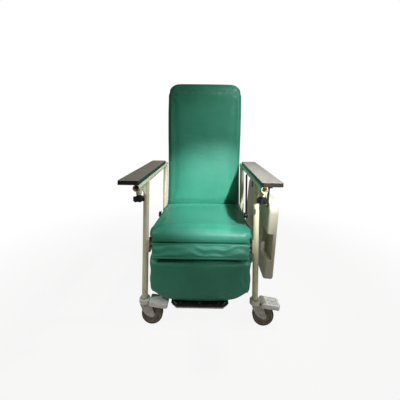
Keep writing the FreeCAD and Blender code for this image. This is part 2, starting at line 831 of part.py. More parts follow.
def back_upright():
    bar = tube(V(BACK_TUBE_X, 0, -EAR_R), V(BACK_TUBE_X, 0, BACK_TUBE_TOP), BACK_TUBE_R, TUBE_WALL)
    bar = lean_back(bar)
    hinge = V(0, HINGE_Y, HINGE_Z)
    bar = bar.fuse(strap_plate(hinge, BACK_PIN, EAR_R, LEGREST_ARM_X, ARM_PLATE_OUT))
    bar = bar.fuse(cross_rod(LEGREST_ARM_X, LINK_OUT, BACK_PIN.y, BACK_PIN.z, CRANK_PIN_R))
    pin_hole = cross_rod(LEGREST_ARM_X - PLATE_GAP, PLATE_IN, HINGE_Y, HINGE_Z, HINGE_PIN_R + RUN_FIT)
    return bar.cut(pin_hole).removeSplitter()


def back_cross_tubes():
    bars = []
    for z in (BACK_CROSS_LOW, BACK_CROSS_MIDDLE, BACK_TUBE_TOP - BACK_TUBE_R):
        ends = [V(side * BACK_TUBE_X, 0, z) for side in SIDES.values()]
        bar = tube(ends[0], ends[1], BACK_TUBE_R, TUBE_WALL)
        for end in ends:
            reach = V(0, 0, 2 * BACK_TUBE_R)
            bar = bar.cut(rod(end - reach, end + reach, BACK_TUBE_R + WELD_GAP))
        bars.append(lean_back(bar))
    return group(bars)


def back_slab(half, y0, y1, z0, z1, corner):
    slab = box(-half, half, y0, y1, z0, z1)
    corners = [
        e for e in slab.Edges
        if abs(e.tangentAt(e.FirstParameter).y) > ALONG_SHARE and e.BoundBox.ZMin > z1 - NEAR
    ]
    return slab.makeFillet(corner, corners)


def back_board():
    rear = -(BACK_TUBE_R + WELD_GAP)
    top = BACK_HEIGHT - COVER_END_GAP
    return lean_back(
        back_slab(COVER_HALF, rear - BACK_BOARD_THICK, rear, COVER_START, top, COVER_CORNER_R)
    )


def back_rear_cover():
    """A shell round the uprights, open to the board in front and at the foot."""
    front = -(BACK_TUBE_R + WELD_GAP)
    inside = BACK_TUBE_R + WELD_GAP
    top = BACK_HEIGHT - COVER_END_GAP
    outer = back_slab(COVER_HALF, front, inside + COVER_WALL, COVER_START, top, COVER_CORNER_R)
    rear = inside + COVER_WALL - TOUCH
    edges = [e for e in outer.Edges if e.BoundBox.YMin > rear and e.BoundBox.ZMax > COVER_START + NEAR]
    outer = outer.makeFillet(COVER_WALL, edges)
    inner = back_slab(
        COVER_HALF - COVER_WALL, front, inside, COVER_START, top - COVER_WALL, COVER_CORNER_R - COVER_WALL
    )
    return lean_back(outer.cut(inner))


# Legrest and footplate

def legrest_arm():
    front = PIVOT_Y + SOFT_GAP
    bar = box(
        LEGREST_ARM_X, ARM_PLATE_OUT, front, front + LEGREST_ARM_DEPTH, BAR_Z - BAR_R - LEGREST_FOOT, PIVOT_Z
    )
    bar = bar.fuse(cross_rod(LEGREST_ARM_X, ARM_PLATE_OUT, PIVOT_Y, PIVOT_Z, LEGREST_EYE_R))
    lug = V(0, front + LEGREST_ARM_DEPTH / 2, LEGREST_PIN.z)
    bar = bar.fuse(strap_plate(lug, LEGREST_PIN, EAR_R, LEGREST_ARM_X, ARM_PLATE_OUT))
    bar = bar.fuse(cross_rod(LEGREST_ARM_X, LINK_OUT, LEGREST_PIN.y, LEGREST_PIN.z, CRANK_PIN_R))
    hole = cross_rod(LEGREST_ARM_X, ARM_PLATE_OUT, PIVOT_Y, PIVOT_Z, HINGE_PIN_R + RUN_FIT)
    return bar.cut(hole).removeSplitter()


def legrest_boards():
    front = PIVOT_Y + SOFT_GAP
    rear = front + LEGREST_BOARD_THICK
    calf = box(
        -LEGREST_ARM_X, LEGREST_ARM_X, front, rear, CALF_BOTTOM + CALF_BOARD_RISE, CALF_TOP - CALF_GAP
    )
    knee = box(
        -LEGREST_ARM_X, LEGREST_ARM_X, front, rear, PIVOT_Z - KNEE_DROP, PIVOT_Z - KNEE_LIP - SOFT_GAP
    )
    return group([calf, knee])


def legrest_bottom_bar():
    return cross_rod(-LEGREST_ARM_X, LEGREST_ARM_X, BAR_Y, BAR_Z, BAR_R)


def foot_outline(half, front, rear, chamfer, z):
    points = [
        (chamfer - half, front), (half - chamfer, front), (half, front + chamfer),
        (half, rear), (-half, rear), (-half, front + chamfer),
    ]
    corners = [V(x, y, z) for x, y in points]
    return Part.Face(Part.makePolygon(corners + corners[:1]))


def mat_screw_places():
    first = -(MAT_SCREWS - 1) / 2 * MAT_SCREW_PITCH
    top = FOOT_TOP + MAT_THICK
    return [V(first + i * MAT_SCREW_PITCH, FOOT_FRONT + MAT_SCREW_SETBACK, top) for i in range(MAT_SCREWS)]


def footplate():
    plate = foot_outline(FOOT_HALF, FOOT_FRONT, BAR_Y, FOOT_CHAMFER, FOOT_TOP - FOOT_THICK)
    plate = plate.extrude(V(0, 0, FOOT_THICK))
    for side in SIDES.values():
        x0 = side * FOOT_SLEEVE_X - FOOT_SLEEVE_LENGTH / 2
        x1 = x0 + FOOT_SLEEVE_LENGTH
        web = box(x0, x1, BAR_Y - BAR_R, BAR_Y + BAR_R, FOOT_TOP - FOOT_THICK, BAR_Z)
        plate = plate.fuse(web).fuse(cross_rod(x0, x1, BAR_Y, BAR_Z, FOOT_SLEEVE_R))
    plate = plate.cut(cross_rod(-FOOT_HALF, FOOT_HALF, BAR_Y, BAR_Z, BAR_R + RUN_FIT))
    for place in mat_screw_places():
        plate = drilled(plate, place, V(0, 0, -SCREW_BITE))
    return plate.removeSplitter()


def footplate_mat():
    rear = BAR_Y - FOOT_SLEEVE_R - MAT_MARGIN
    mat = foot_outline(FOOT_HALF - MAT_MARGIN, FOOT_FRONT + MAT_MARGIN, rear, FOOT_CHAMFER, FOOT_TOP)
    mat = mat.extrude(V(0, 0, MAT_THICK))
    for place in mat_screw_places():
        mat = drilled(mat, place, V(0, 0, -MAT_THICK))
    return mat


def footplate_screws():
    down = V(0, 0, -1)
    return group(screw(place, down, MAT_THICK, SCREW_BITE - MAT_THICK) for place in mat_screw_places())


# Link rods and recline lever

def link_rod():
    slot_r = CRANK_PIN_R + LINK_SLOT_PLAY
    bar = strap_plate(BACK_PIN, LEGREST_PIN, LINK_HEIGHT / 2, LINK_IN, LINK_OUT)
    bar = bar.fuse(cross_rod(LINK_IN, LINK_OUT, BACK_PIN.y, BACK_PIN.z, LINK_EYE_R))
    bar = bar.fuse(cross_rod(LINK_IN, LINK_OUT, LEGREST_PIN.y, LEGREST_PIN.z, slot_r + LINK_SLOT_WALL))
    bar = bar.cut(cross_rod(LINK_IN, LINK_OUT, BACK_PIN.y, BACK_PIN.z, CRANK_PIN_R + RUN_FIT))
    return bar.cut(cross_rod(LINK_IN, LINK_OUT, LEGREST_PIN.y, LEGREST_PIN.z, slot_r)).removeSplitter()


def lever_pivot(side):
    """The plate on the rail that carries the lever, with its stub on the right and a cap on the left."""
    y0 = LEVER_Y - LEVER_PLATE_WIDTH / 2
    y1 = LEVER_Y + LEVER_PLATE_WIDTH / 2
    foot = seat_point(LEVER_SETBACK, rail_top() - RAIL_SIZE).z
    outline = [(y0, foot), (y1, foot), (LEVER_Y + LEVER_HUB_R, LEVER_Z + LEVER_HUB_R),
               (LEVER_Y - LEVER_HUB_R, LEVER_Z + LEVER_HUB_R)]
    plate = side_plate(outline, PLATE_IN, PLATE_OUT)
    if side > 0:
        hub_in = PLATE_OUT + PLATE_GAP
        cap_in = hub_in + LEVER_HUB_LENGTH + PLATE_GAP / 3
        stub = cross_rod(PLATE_OUT, cap_in, LEVER_Y, LEVER_Z, HINGE_PIN_R)
        cap = cross_rod(cap_in, cap_in + LEVER_CAP, LEVER_Y, LEVER_Z, PIN_HEAD_R)
        return plate.fuse(stub).fuse(cap).removeSplitter()
    cap = cross_rod(PLATE_OUT, PLATE_OUT + LEVER_HUB_LENGTH / 2, LEVER_Y, LEVER_Z, LEVER_HUB_R)
    return mirrored(plate.fuse(cap).removeSplitter())


def recline_lever():
    hub_in = PLATE_OUT + PLATE_GAP
    hub_out = hub_in + LEVER_HUB_LENGTH
    bar_in = (hub_in + hub_out - LEVER_THICK) / 2
    foot = V(0, LEVER_Y, LEVER_Z)
    bar = strap_plate(foot, foot + V(0, 0, LEVER_LENGTH), LEVER_WIDTH / 2, bar_in, bar_in + LEVER_THICK)
    bar = bar.fuse(cross_rod(hub_in, hub_out, LEVER_Y, LEVER_Z, LEVER_HUB_R))
    return bar.cut(cross_rod(hub_in, hub_out, LEVER_Y, LEVER_Z, HINGE_PIN_R + RUN_FIT)).removeSplitter()


# Side tray

def strap_places():
    """Where the front and rear straps start; the rear one hangs under the armrest's rear end."""
    return [TRAY_FRONT + STRAP_INSET, BOARD_REAR - STRAP_REAR_INSET - STRAP_WIDTH]


def tray_screw_places():
    """Two screws through each strap into the tray's inner wall, on the strap's own face."""
    face = TRAY_INNER - STRAP_THICK
    heights = [-STRAP_LENGTH + 2 * SCREW_HEAD_R, -TRAY_HANG - 2 * SCREW_HEAD_R]
    return [V(face, y + STRAP_WIDTH / 2, z) for y in strap_places() for z in heights]


def cross_edges(shape, low, high):
    """The edges along X between two heights."""
    along = [e for e in shape.Edges if abs(e.tangentAt(e.FirstParameter).x) > ALONG_SHARE]
    return [e for e in along if low < e.CenterOfMass.z < high]


def tray_panel():
    top = -TRAY_HANG
    outer = TRAY_INNER + TRAY_THICK
    rear = TRAY_FRONT + TRAY_LENGTH
    foot = top - TRAY_HEIGHT
    panel = box(TRAY_INNER, outer, TRAY_FRONT, rear, foot, top)
    panel = panel.makeFillet(TRAY_CORNER_R, cross_edges(panel, top - NEAR, top + NEAR))
    panel = panel.makeFillet(TRAY_FOOT_R, cross_edges(panel, foot - NEAR, foot + NEAR))
    rims = [e for e in panel.Edges if e.BoundBox.XMax - e.BoundBox.XMin < TOUCH]
    panel = panel.makeFillet(TRAY_EDGE_R, rims)
    groove_top = top - TRAY_GROOVE_DROP
    panel = panel.cut(
        box(
            TRAY_INNER, TRAY_INNER + TRAY_GROOVE_DEPTH, TRAY_FRONT, TRAY_FRONT + TRAY_GROOVE_LENGTH,
            groove_top - TRAY_GROOVE_WIDTH, groove_top,
        )
    )
    margin = TRAY_DISH_MARGIN
    dish = box(
        outer - TRAY_DISH_DEPTH, outer, TRAY_FRONT + margin, rear - margin,
        foot + margin, top - margin,
    )
    panel = panel.cut(dish.makeFillet(TRAY_CORNER_R - margin / 2, cross_edges(dish, foot, top)))
    for place in tray_screw_places():
        panel = drilled(panel, place, V(STRAP_THICK + SCREW_BITE, 0, 0))
    return hang_tray(panel)


def tray_straps():
    straps = []
    for y in strap_places():
        strap = box(TRAY_INNER - STRAP_THICK, TRAY_INNER, y, y + STRAP_WIDTH, -STRAP_LENGTH, 0)
        strap = strap.fuse(rod(V(0, y, 0), V(0, y + STRAP_WIDTH, 0), BARREL_R))
        strap = drilled(strap, V(0, y, 0), V(0, STRAP_WIDTH, 0), TRAY_PIN_R)
        straps.append(strap.removeSplitter())
    straps = group(straps)
    for place in tray_screw_places():
        straps = drilled(straps, place, V(STRAP_THICK, 0, 0))
    return hang_tray(straps)


def tray_screws():
    out = V(1, 0, 0)
    return hang_tray(group(screw(place, out, STRAP_THICK, SCREW_BITE) for place in tray_screw_places()))


def tray_hinge_brackets():
    """Forks under the right armrest board, each with the pin of one tray strap."""
    brackets = []
    for y in strap_places():
        y0 = y - HANGER_PLAY - HANGER_EAR
        y1 = y + STRAP_WIDTH + HANGER_PLAY + HANGER_EAR
        bracket = box(
            TRAY_HINGE_X - HANGER_HALF, TRAY_HINGE_X + HANGER_HALF, y0, y1,
            BOARD_BOTTOM - HANGER_EAR, BOARD_BOTTOM,
        )
        for ear in (y0, y1 - HANGER_EAR):
            bracket = bracket.fuse(
                box(
                    TRAY_HINGE_X - BARREL_R, TRAY_HINGE_X + BARREL_R, ear, ear + HANGER_EAR,
                    TRAY_HINGE_Z - BARREL_R, BOARD_BOTTOM,
                )
            )
        pin = rod(V(TRAY_HINGE_X, y0, TRAY_HINGE_Z), V(TRAY_HINGE_X, y1, TRAY_HINGE_Z), TRAY_PIN_R)
        brackets.append(bracket.fuse(pin).removeSplitter())
    return group(brackets)


# Casters

CASTER_CORNERS = {
    "front_left": (-LEG_X, 0.0),
    "front_right": (LEG_X, 0.0),
    "rear_left": (-LEG_X, WHEELBASE),
    "rear_right": (LEG_X, WHEELBASE),
}


def spindle(x, y, z, half, radius):
    """A cylinder along Y, centred on a point."""
    return rod(V(x, y - half, z), V(x, y + half, z), radius)


def caster_stem(x, y):
    up = V(0, 0, 1)
    collar = V(x, y, HEAD_TOP + SWIVEL_GAP)
    top = V(x, y, CASTER_TOP)
    stem = rod(collar, top, COLLAR_R)
    stem = stem.fuse(rod(collar - up * STEM_DEPTH, collar, STEM_R))
    return stem.fuse(rod(top, top + up * SOCKET_DEPTH, TUBE_R - TUBE_WALL - RUN_FIT)).removeSplitter()


def fork_cheek(x, y, z):
    """One side of the fork, swept from the swivel head to the axle."""
    rise = HEAD_TOP - HEAD_HEIGHT / 2 - z
    lug = FORK_LUG_R * math.sqrt(0.5)
    front = -WHEEL_TRAIL - FORK_FRONT_SHARE * HEAD_R
    rear = -WHEEL_TRAIL + FORK_REAR_SHARE * HEAD_R
    front_bow = V(front * FORK_FRONT_BOW_SHARES[0], 0, rise * FORK_FRONT_BOW_SHARES[1])
    rear_bow = V(rear * FORK_REAR_BOW_SHARES[0], 0, rise * FORK_REAR_BOW_SHARES[1])

    def at(dx, dz):
        return V(x + dx, y, z + dz)

    edges = [
        arc(at(front, rise), at(front_bow.x, front_bow.z), at(-lug, -lug)),
        line(at(-lug, -lug), at(lug, lug)),
        arc(at(lug, lug), at(rear_bow.x, rear_bow.z), at(rear, rise)),
        line(at(rear, rise), at(front, rise)),
    ]
    return Part.Face(Part.Wire(edges)).extrude(V(0, FORK_WALL, 0))


def caster_fork(x, y, with_tongue):
    wheel_x = x + WHEEL_TRAIL
    inner = WHEEL_WIDTH / 2 + FORK_GAP
    head_low = HEAD_TOP - HEAD_HEIGHT
    fork = rod(V(x, y, head_low), V(x, y, HEAD_TOP), HEAD_R)
    for y0 in (y + inner, y - inner - FORK_WALL):
        fork = fork.fuse(fork_cheek(wheel_x, y0, WHEEL_R))
        fork = fork.fuse(rod(V(wheel_x, y0, WHEEL_R), V(wheel_x, y0 + FORK_WALL, WHEEL_R), FORK_LUG_R))
    fork = fork.cut(spindle(wheel_x, y, WHEEL_R, inner, WHEEL_R + WHEEL_CLEAR))
    if with_tongue:
        pin_x = x + PEDAL_PIN_X
        low = 2 * WHEEL_R + WHEEL_CLEAR
        pin_z = low + TONGUE_HEIGHT / 2
        tongue = box(x, pin_x, y - TONGUE_HALF, y + TONGUE_HALF, low, low + TONGUE_HEIGHT)
        tongue = tongue.fuse(spindle(pin_x, y, pin_z, TONGUE_HALF, TONGUE_HEIGHT / 2))
        fork = fork.fuse(tongue)
        fork = fork.cut(spindle(pin_x, y, pin_z, TONGUE_HALF, PEDAL_PIN_R + RUN_FIT))
    fork = fork.fuse(spindle(wheel_x, y, WHEEL_R, inner + FORK_WALL, AXLE_R))
    for y0 in (y + inner + FORK_WALL, y - inner - FORK_WALL - RIVET_HEAD):
        fork = fork.fuse(rod(V(wheel_x, y0, WHEEL_R), V(wheel_x, y0 + RIVET_HEAD, WHEEL_R), RIVET_R))
    stem_hole = rod(V(x, y, HEAD_TOP - STEM_DEPTH), V(x, y, HEAD_TOP), STEM_R + RUN_FIT)
    return fork.cut(stem_hole).removeSplitter()


def caster_wheel(x, y):
    wheel_x = x + WHEEL_TRAIL
    rim_r = WHEEL_R - TYRE_DEPTH
    half = WHEEL_WIDTH / 2 - HUB_PROUD
    wheel = spindle(wheel_x, y, WHEEL_R, half, rim_r)
    for y0 in (y - half, y + half - WEB_RECESS):
        start = V(wheel_x, y0, WHEEL_R)
        recess_r = rim_r - WEB_RECESS
        wheel = wheel.cut(tube(start, start + V(0, WEB_RECESS, 0), recess_r, recess_r - HUB_R))
    wheel = wheel.fuse(spindle(wheel_x, y, WHEEL_R, WHEEL_WIDTH / 2 + HUB_PROUD, HUB_R))
    bore = spindle(wheel_x, y, WHEEL_R, WHEEL_WIDTH, AXLE_R + RUN_FIT)
    return wheel.cut(bore).removeSplitter()


def caster_tyre(x, y):
    wheel_x = x + WHEEL_TRAIL
    tyre = spindle(wheel_x, y, WHEEL_R, WHEEL_WIDTH / 2, WHEEL_R)
    tyre = tyre.makeFillet(TYRE_EDGE_R, [e for e in tyre.Edges if len(e.Vertexes) == 1])
    return tyre.cut(spindle(wheel_x, y, WHEEL_R, WHEEL_WIDTH, WHEEL_R - TYRE_DEPTH + RUN_FIT))


def brake_pedal(x, y):
    tongue_top = 2 * WHEEL_R + WHEEL_CLEAR + TONGUE_HEIGHT
    pin = V(x + PEDAL_PIN_X, y, tongue_top - TONGUE_HEIGHT / 2)
    low = tongue_top + PEDAL_PLAY
    start = x + HEAD_R + PLATE_GAP
    end = x + PEDAL_REACH
    plate = box(start, end, y - PEDAL_HALF, y + PEDAL_HALF, low, low + PEDAL_THICK)
    tips = [e for e in upright_edges(plate) if e.BoundBox.XMin > end - NEAR]
    plate = plate.makeFillet(PEDAL_CORNER_R, tips)
    lip_half = PEDAL_HALF - PEDAL_CORNER_R
    skirt_end = end - PEDAL_CORNER_R
    for y0 in (y - PEDAL_HALF, y + PEDAL_HALF - PEDAL_THICK):
        plate = plate.fuse(box(start, skirt_end, y0, y0 + PEDAL_THICK, low - PEDAL_SKIRT, low))
    plate = plate.fuse(box(end - PEDAL_THICK, end, y - lip_half, y + lip_half, low - PEDAL_LIP, low))
    ear_in = TONGUE_HALF + PEDAL_PLAY / 2
    for y0 in (y + ear_in, y - ear_in - PEDAL_THICK):
        ear = box(start, pin.x + TONGUE_HEIGHT, y0, y0 + PEDAL_THICK, pin.z - TONGUE_HEIGHT / 2, low)
        plate = plate.fuse(ear)
    plate = plate.fuse(spindle(pin.x, y, pin.z, ear_in + PEDAL_THICK, PEDAL_PIN_R)).removeSplitter()
    plate.rotate(pin, V(0, 1, 0), PEDAL_SLOPE)
    return plate


# The whole chair, one entry for each named piece

def chair():
    nodes = {}
    for name, side in SIDES.items():
        nodes[name + "_arm_tube"] = arm_tube(side)
        nodes[name + "_front_leg"] = leg(side, 0.0)
        nodes[name + "_rear_leg"] = leg(side, WHEELBASE)
        nodes[name + "_clamp_knob"] = clamp_knob(side)
    nodes["right_armrest_board"] = armrest_board()
    nodes["left_armrest_board"] = mirrored(armrest_board())
    nodes["rear_cross_tube"] = rear_cross_tube()
    nodes["lever_pivots"] = group(lever_pivot(side) for side in SIDES.values())
    for paired in (
        arm_gusset, tube_plug, armrest_cleats, armrest_screws, clamp_nut, seat_rail, seat_bolts,
        seat_brackets, pivot_pins, back_upright, legrest_arm, link_rod,
    ):
        name = paired.__name__
        nodes[name if name.endswith("s") else name + "s"] = both(paired())
    for single in (
        seat_cross_bars, seat_board, seat_cushion, back_cross_tubes, back_board, back_cushion,
        back_rear_cover, legrest_boards, legrest_bottom_bar, knee_pad, calf_pad, footplate, footplate_mat,
        footplate_screws, recline_lever, tray_panel, tray_straps, tray_screws, tray_hinge_brackets,
    ):
        nodes[single.__name__] = single()
    nodes["caster_stems"] = group(caster_stem(x, y) for x, y in CASTER_CORNERS.values())
    for corner, (x, y) in CASTER_CORNERS.items():
        braked = corner.startswith("front")
        nodes[corner + "_caster_fork"] = caster_fork(x, y, braked)
        nodes[corner + "_caster_wheel"] = caster_wheel(x, y)
        nodes[corner + "_caster_tyre"] = caster_tyre(x, y)
        if braked:
            nodes[corner + "_brake_pedal"] = brake_pedal(x, y)
    return nodes


def solids_only(shape):
    solids = shape.Solids
    return solids[0] if len(solids) == 1 else group(solids)


def main():
    nodes = {name: solids_only(shape) for name, shape in chair().items()}
    whole = group(nodes.values()).optimalBoundingBox(False, False)
    shift = V(-(whole.XMin + whole.XMax) / 2, -(whole.YMin + whole.YMax) / 2, -whole.ZMin)
    os.makedirs("parts", exist_ok=True)
    for name, shape in nodes.items():
        shape.translate(shift)
        shape.exportStep("parts/" + name + ".step")
    print("moved by", [round(v, 4) for v in shift], "nodes", len(nodes))
    for label, place in (
        ("back hinge", V(0, HINGE_Y, HINGE_Z)), ("legrest pivot", V(0, PIVOT_Y, PIVOT_Z)),
        ("footplate bar", V(0, BAR_Y, BAR_Z)), ("link pin", BACK_PIN), ("lever", V(LEG_X, LEVER_Y, LEVER_Z)),
        ("knob", V(LEG_X, KNOB_Y, TUBE_BOTTOM)), ("tray hinge", V(TRAY_HINGE_X, 0, TRAY_HINGE_Z)),
        ("arm tube mouth", V(LEG_X, ARM_FRONT, ARM_Z)), ("front caster", V(LEG_X, 0, WHEEL_R)),
        ("rear caster", V(LEG_X, WHEELBASE, WHEEL_R)),
    ):
        print(label, [round(v, 4) for v in place + shift])


main()
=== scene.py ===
import json
import math

import bpy
import numpy as np
from mathutils import Matrix, Vector


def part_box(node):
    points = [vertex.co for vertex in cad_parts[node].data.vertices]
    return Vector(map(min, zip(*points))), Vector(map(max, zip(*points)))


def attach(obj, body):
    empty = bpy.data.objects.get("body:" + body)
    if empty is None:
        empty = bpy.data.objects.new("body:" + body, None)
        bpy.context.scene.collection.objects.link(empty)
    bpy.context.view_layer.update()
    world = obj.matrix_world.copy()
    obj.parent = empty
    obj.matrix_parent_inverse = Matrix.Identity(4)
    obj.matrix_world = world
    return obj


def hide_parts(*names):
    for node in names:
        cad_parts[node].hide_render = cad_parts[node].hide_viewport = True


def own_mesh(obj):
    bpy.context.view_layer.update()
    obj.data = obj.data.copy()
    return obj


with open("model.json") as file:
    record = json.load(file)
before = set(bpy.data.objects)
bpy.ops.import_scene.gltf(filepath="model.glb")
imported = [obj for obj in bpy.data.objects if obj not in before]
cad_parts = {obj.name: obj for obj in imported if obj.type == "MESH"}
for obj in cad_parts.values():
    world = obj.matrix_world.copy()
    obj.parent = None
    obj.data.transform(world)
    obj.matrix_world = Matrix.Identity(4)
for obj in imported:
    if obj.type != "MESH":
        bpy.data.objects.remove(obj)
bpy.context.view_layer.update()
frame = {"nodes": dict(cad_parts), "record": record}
nodes = frame["nodes"]
scene = bpy.context.scene


# Places, in millimetres from the floor under the middle of the front legs

left_leg_low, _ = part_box("left_front_leg")
_, right_leg_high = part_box("right_front_leg")
leg_middle = (left_leg_low + right_leg_high) / 2
base = Vector((leg_middle.x, leg_middle.y, 0))
LEG_OUT = 264.0
REAR_LEG = 512.5
SIDES = (("left", -LEG_OUT), ("right", LEG_OUT))
CORNERS = [(f"{end}_{side}", x, y) for end, y in (("front", 0.0), ("rear", REAR_LEG)) for side, x in SIDES]


def at(x, y, z):
    return base + Vector((x, y, z)) / 1000


# Finishes

class Wire:
    """A value inside a finish that can be used in sums."""

    def __init__(self, finish, socket):
        self.finish = finish
        self.socket = socket

    def math(self, operation, *values):
        return self.finish.node("ShaderNodeMath", {"operation": operation}, values)

    def __add__(self, other):
        return self.math("ADD", self, other)

    def __rsub__(self, other):
        return self.math("SUBTRACT", other, self)

    def __mul__(self, other):
        return self.math("MULTIPLY", self, other)

    def __abs__(self):
        return self.math("ABSOLUTE", self)

    __radd__ = __add__
    __rmul__ = __mul__


class Finish:
    """One material, built from nodes on the surface's own coordinates."""

    def __init__(self, name, **constants):
        self.material = bpy.data.materials.new(name)
        self.material.use_nodes = True
        self.tree = self.material.node_tree
        self.shader = self.tree.nodes["Principled BSDF"]
        for key, value in constants.items():
            self.shader.inputs[key.replace("_", " ")].default_value = value
        self.place = self.node("ShaderNodeTexCoord", output="Object")

    def node(self, kind, settings=None, values=(), output=0):
        """Adds a node, sets or wires its inputs and gives one of its outputs."""
        made = self.tree.nodes.new(kind)
        for key, value in (settings or {}).items():
            setattr(made, key, value)
        for key, value in values.items() if isinstance(values, dict) else enumerate(values):
            if isinstance(value, Wire):
                self.tree.links.new(value.socket, made.inputs[key])
            else:
                made.inputs[key].default_value = value
        return Wire(self, made.outputs[output])

    def stretched(self, x, y, z):
        return self.node("ShaderNodeMapping", {}, {"Vector": self.place, "Scale": (x, y, z)})

    def noise(self, scale, detail=2.0, rough=0.5, where=None):
        return self.node(
            "ShaderNodeTexNoise", {},
            {"Vector": where or self.place, "Scale": scale, "Detail": detail, "Roughness": rough},
        )

    def cells(self, scale, feature):
        return self.node("ShaderNodeTexVoronoi", {"feature": feature}, {"Vector": self.place, "Scale": scale})

    def split(self, vector, axis):
        return self.node("ShaderNodeSeparateXYZ", {}, [vector], axis)

    def facing(self, axis):
        """How far the surface faces along an axis of the object."""
        return self.split(self.node("ShaderNodeNewGeometry", output="Normal"), axis)

    def between(self, value, low, high):
        """Nothing at low and one at high, with a smooth step between them."""
        return self.node(
            "ShaderNodeMapRange", {"interpolation_type": "SMOOTHSTEP"},
            {"Value": value, "From Min": low, "From Max": high},
        )

    def mix(self, share, first, second):
        return self.node("ShaderNodeMix", {"data_type": "RGBA"}, {0: share, 6: first, 7: second}, 2)

    def relief(self, height, depth, strength, under=None):
        values = {"Height": height, "Distance": depth, "Strength": strength}
        if under:
            values["Normal"] = under
        return self.node("ShaderNodeBump", {}, values)

    def wear(self, **wires):
        for key, value in wires.items():
            self.tree.links.new(value.socket, self.shader.inputs[key.replace("_", " ")])
        return self.material


def rgb(r, g, b):
    return (r, g, b, 1.0)


def green_vinyl():
    skin = Finish("green_vinyl", Specular_IOR_Level=0.36, Coat_Roughness=0.25)
    patches = skin.between(skin.noise(5.0, 3.0), 0.3, 0.7)
    pores = skin.cells(750.0, "DISTANCE_TO_EDGE")
    soft_creases = skin.noise(26.0, 3.0, 0.55, skin.stretched(0.6, 1.0, 2.2))
    rubbed = skin.between(skin.noise(38.0, 4.0, 0.6), 0.52, 0.75)
    color = skin.mix(patches, rgb(0.041, 0.272, 0.186), rgb(0.052, 0.314, 0.222))
    color = skin.mix(rubbed * 0.18, color, rgb(0.09, 0.40, 0.30))
    color = skin.mix(skin.between(pores, 0.0, 0.12) * -0.25 + 0.25, color, rgb(0.008, 0.14, 0.085))
    bump = skin.relief(skin.between(pores, 0.0, 0.25), 0.00025, 0.35)
    bump = skin.relief(soft_creases, 0.003, 0.16, bump)
    return skin.wear(
        Base_Color=color, Roughness=0.36 + patches * 0.08 + rubbed * 0.08, Normal=bump,
        Coat_Weight=0.03 + 0.05 * patches,
    )


def cream_paint():
    coat = Finish("cream_paint", Specular_IOR_Level=0.5, Coat_Roughness=0.12)
    height = coat.split(coat.place, "Z")
    shade = coat.between(coat.noise(9.0, 4.0), 0.35, 0.7)
    scuffs = coat.between(coat.noise(60.0, 5.0, 0.65, coat.stretched(1.0, 1.0, 0.35)), 0.60, 0.74)
    low_dirt = coat.between(height, 0.32, 0.10) * coat.between(coat.noise(30.0, 5.0, 0.6), 0.35, 0.75)
    color = coat.mix(shade, rgb(0.86, 0.83, 0.63), rgb(0.79, 0.755, 0.54))
    color = coat.mix(scuffs * 0.35, color, rgb(0.34, 0.31, 0.22))
    color = coat.mix(low_dirt * 0.35, color, rgb(0.22, 0.19, 0.13))
    peel = coat.relief(coat.noise(420.0, 2.0), 0.0002, 0.25)
    return coat.wear(
        Base_Color=color, Roughness=0.28 + scuffs * 0.3 + 0.1 * shade, Normal=peel,
        Coat_Weight=0.3 - scuffs * 0.3,
    )


def tray_plastic():
    shell = Finish("tray_plastic", Specular_IOR_Level=0.45, Coat_Roughness=0.2)
    aged = shell.between(shell.noise(4.0, 3.0), 0.3, 0.75)
    scratches = shell.between(shell.noise(45.0, 6.0, 0.7, shell.stretched(1.0, 0.2, 2.0)), 0.60, 0.70)
    color = shell.mix(aged, rgb(0.61, 0.59, 0.48), rgb(0.545, 0.52, 0.405))
    color = shell.mix(scratches * 0.3, color, rgb(0.45, 0.42, 0.32))
    texture = shell.relief(shell.noise(900.0, 2.0), 0.0002, 0.3)
    texture = shell.relief(scratches, 0.0003, 0.2, texture)
    return shell.wear(
        Base_Color=color, Roughness=0.34 + aged * 0.1 + scratches * 0.2, Normal=texture,
        Coat_Weight=0.15 * aged,
    )


def laminate():
    sheet = Finish("laminate", Specular_IOR_Level=0.4, Coat_Roughness=0.3)
    # Top faces take the board's colour and the sides a far darker mix: painted shade for light that falls on
    # the top and not on the edges.
    top = sheet.between(abs(sheet.facing("Z")), 0.55, 0.8)
    grain = sheet.noise(70.0, 6.0, 0.62, sheet.stretched(6.0, 0.55, 6.0))
    streaks = sheet.between(grain, 0.36, 0.66)
    flecks = sheet.between(sheet.noise(260.0, 3.0, 0.6, sheet.stretched(2.0, 0.35, 2.0)), 0.5, 0.72)
    worn = sheet.between(sheet.noise(11.0, 5.0, 0.6), 0.52, 0.74)
    face = sheet.mix(streaks, rgb(0.215, 0.200, 0.178), rgb(0.360, 0.340, 0.310))
    face = sheet.mix(flecks * 0.4, face, rgb(0.070, 0.060, 0.052))
    face = sheet.mix(worn * 0.3, face, rgb(0.26, 0.24, 0.22))
    # Painted shade: the board's colour darkened for its side faces.
    shaded_sides = sheet.mix(streaks, rgb(0.018, 0.016, 0.014), rgb(0.034, 0.030, 0.026))
    bump = sheet.relief(grain, 0.0004, 0.25)
    return sheet.wear(
        Base_Color=sheet.mix(top, shaded_sides, face), Roughness=0.40 - 0.08 * top + worn * 0.12, Normal=bump,
        Coat_Weight=0.2 * top,
    )


def plywood():
    ply = Finish("plywood", Specular_IOR_Level=0.3)
    rings = ply.noise(22.0, 6.0, 0.6, ply.stretched(5.0, 0.5, 0.5))
    knots = ply.between(ply.noise(130.0, 3.0, 0.5, ply.stretched(3.0, 0.3, 0.3)), 0.55, 0.75)
    color = ply.mix(ply.between(rings, 0.35, 0.68), rgb(0.36, 0.235, 0.125), rgb(0.55, 0.40, 0.24))
    color = ply.mix(knots * 0.5, color, rgb(0.24, 0.14, 0.07))
    return ply.wear(Base_Color=color, Roughness=0.62 + knots * 0.1, Normal=ply.relief(rings, 0.0006, 0.3))


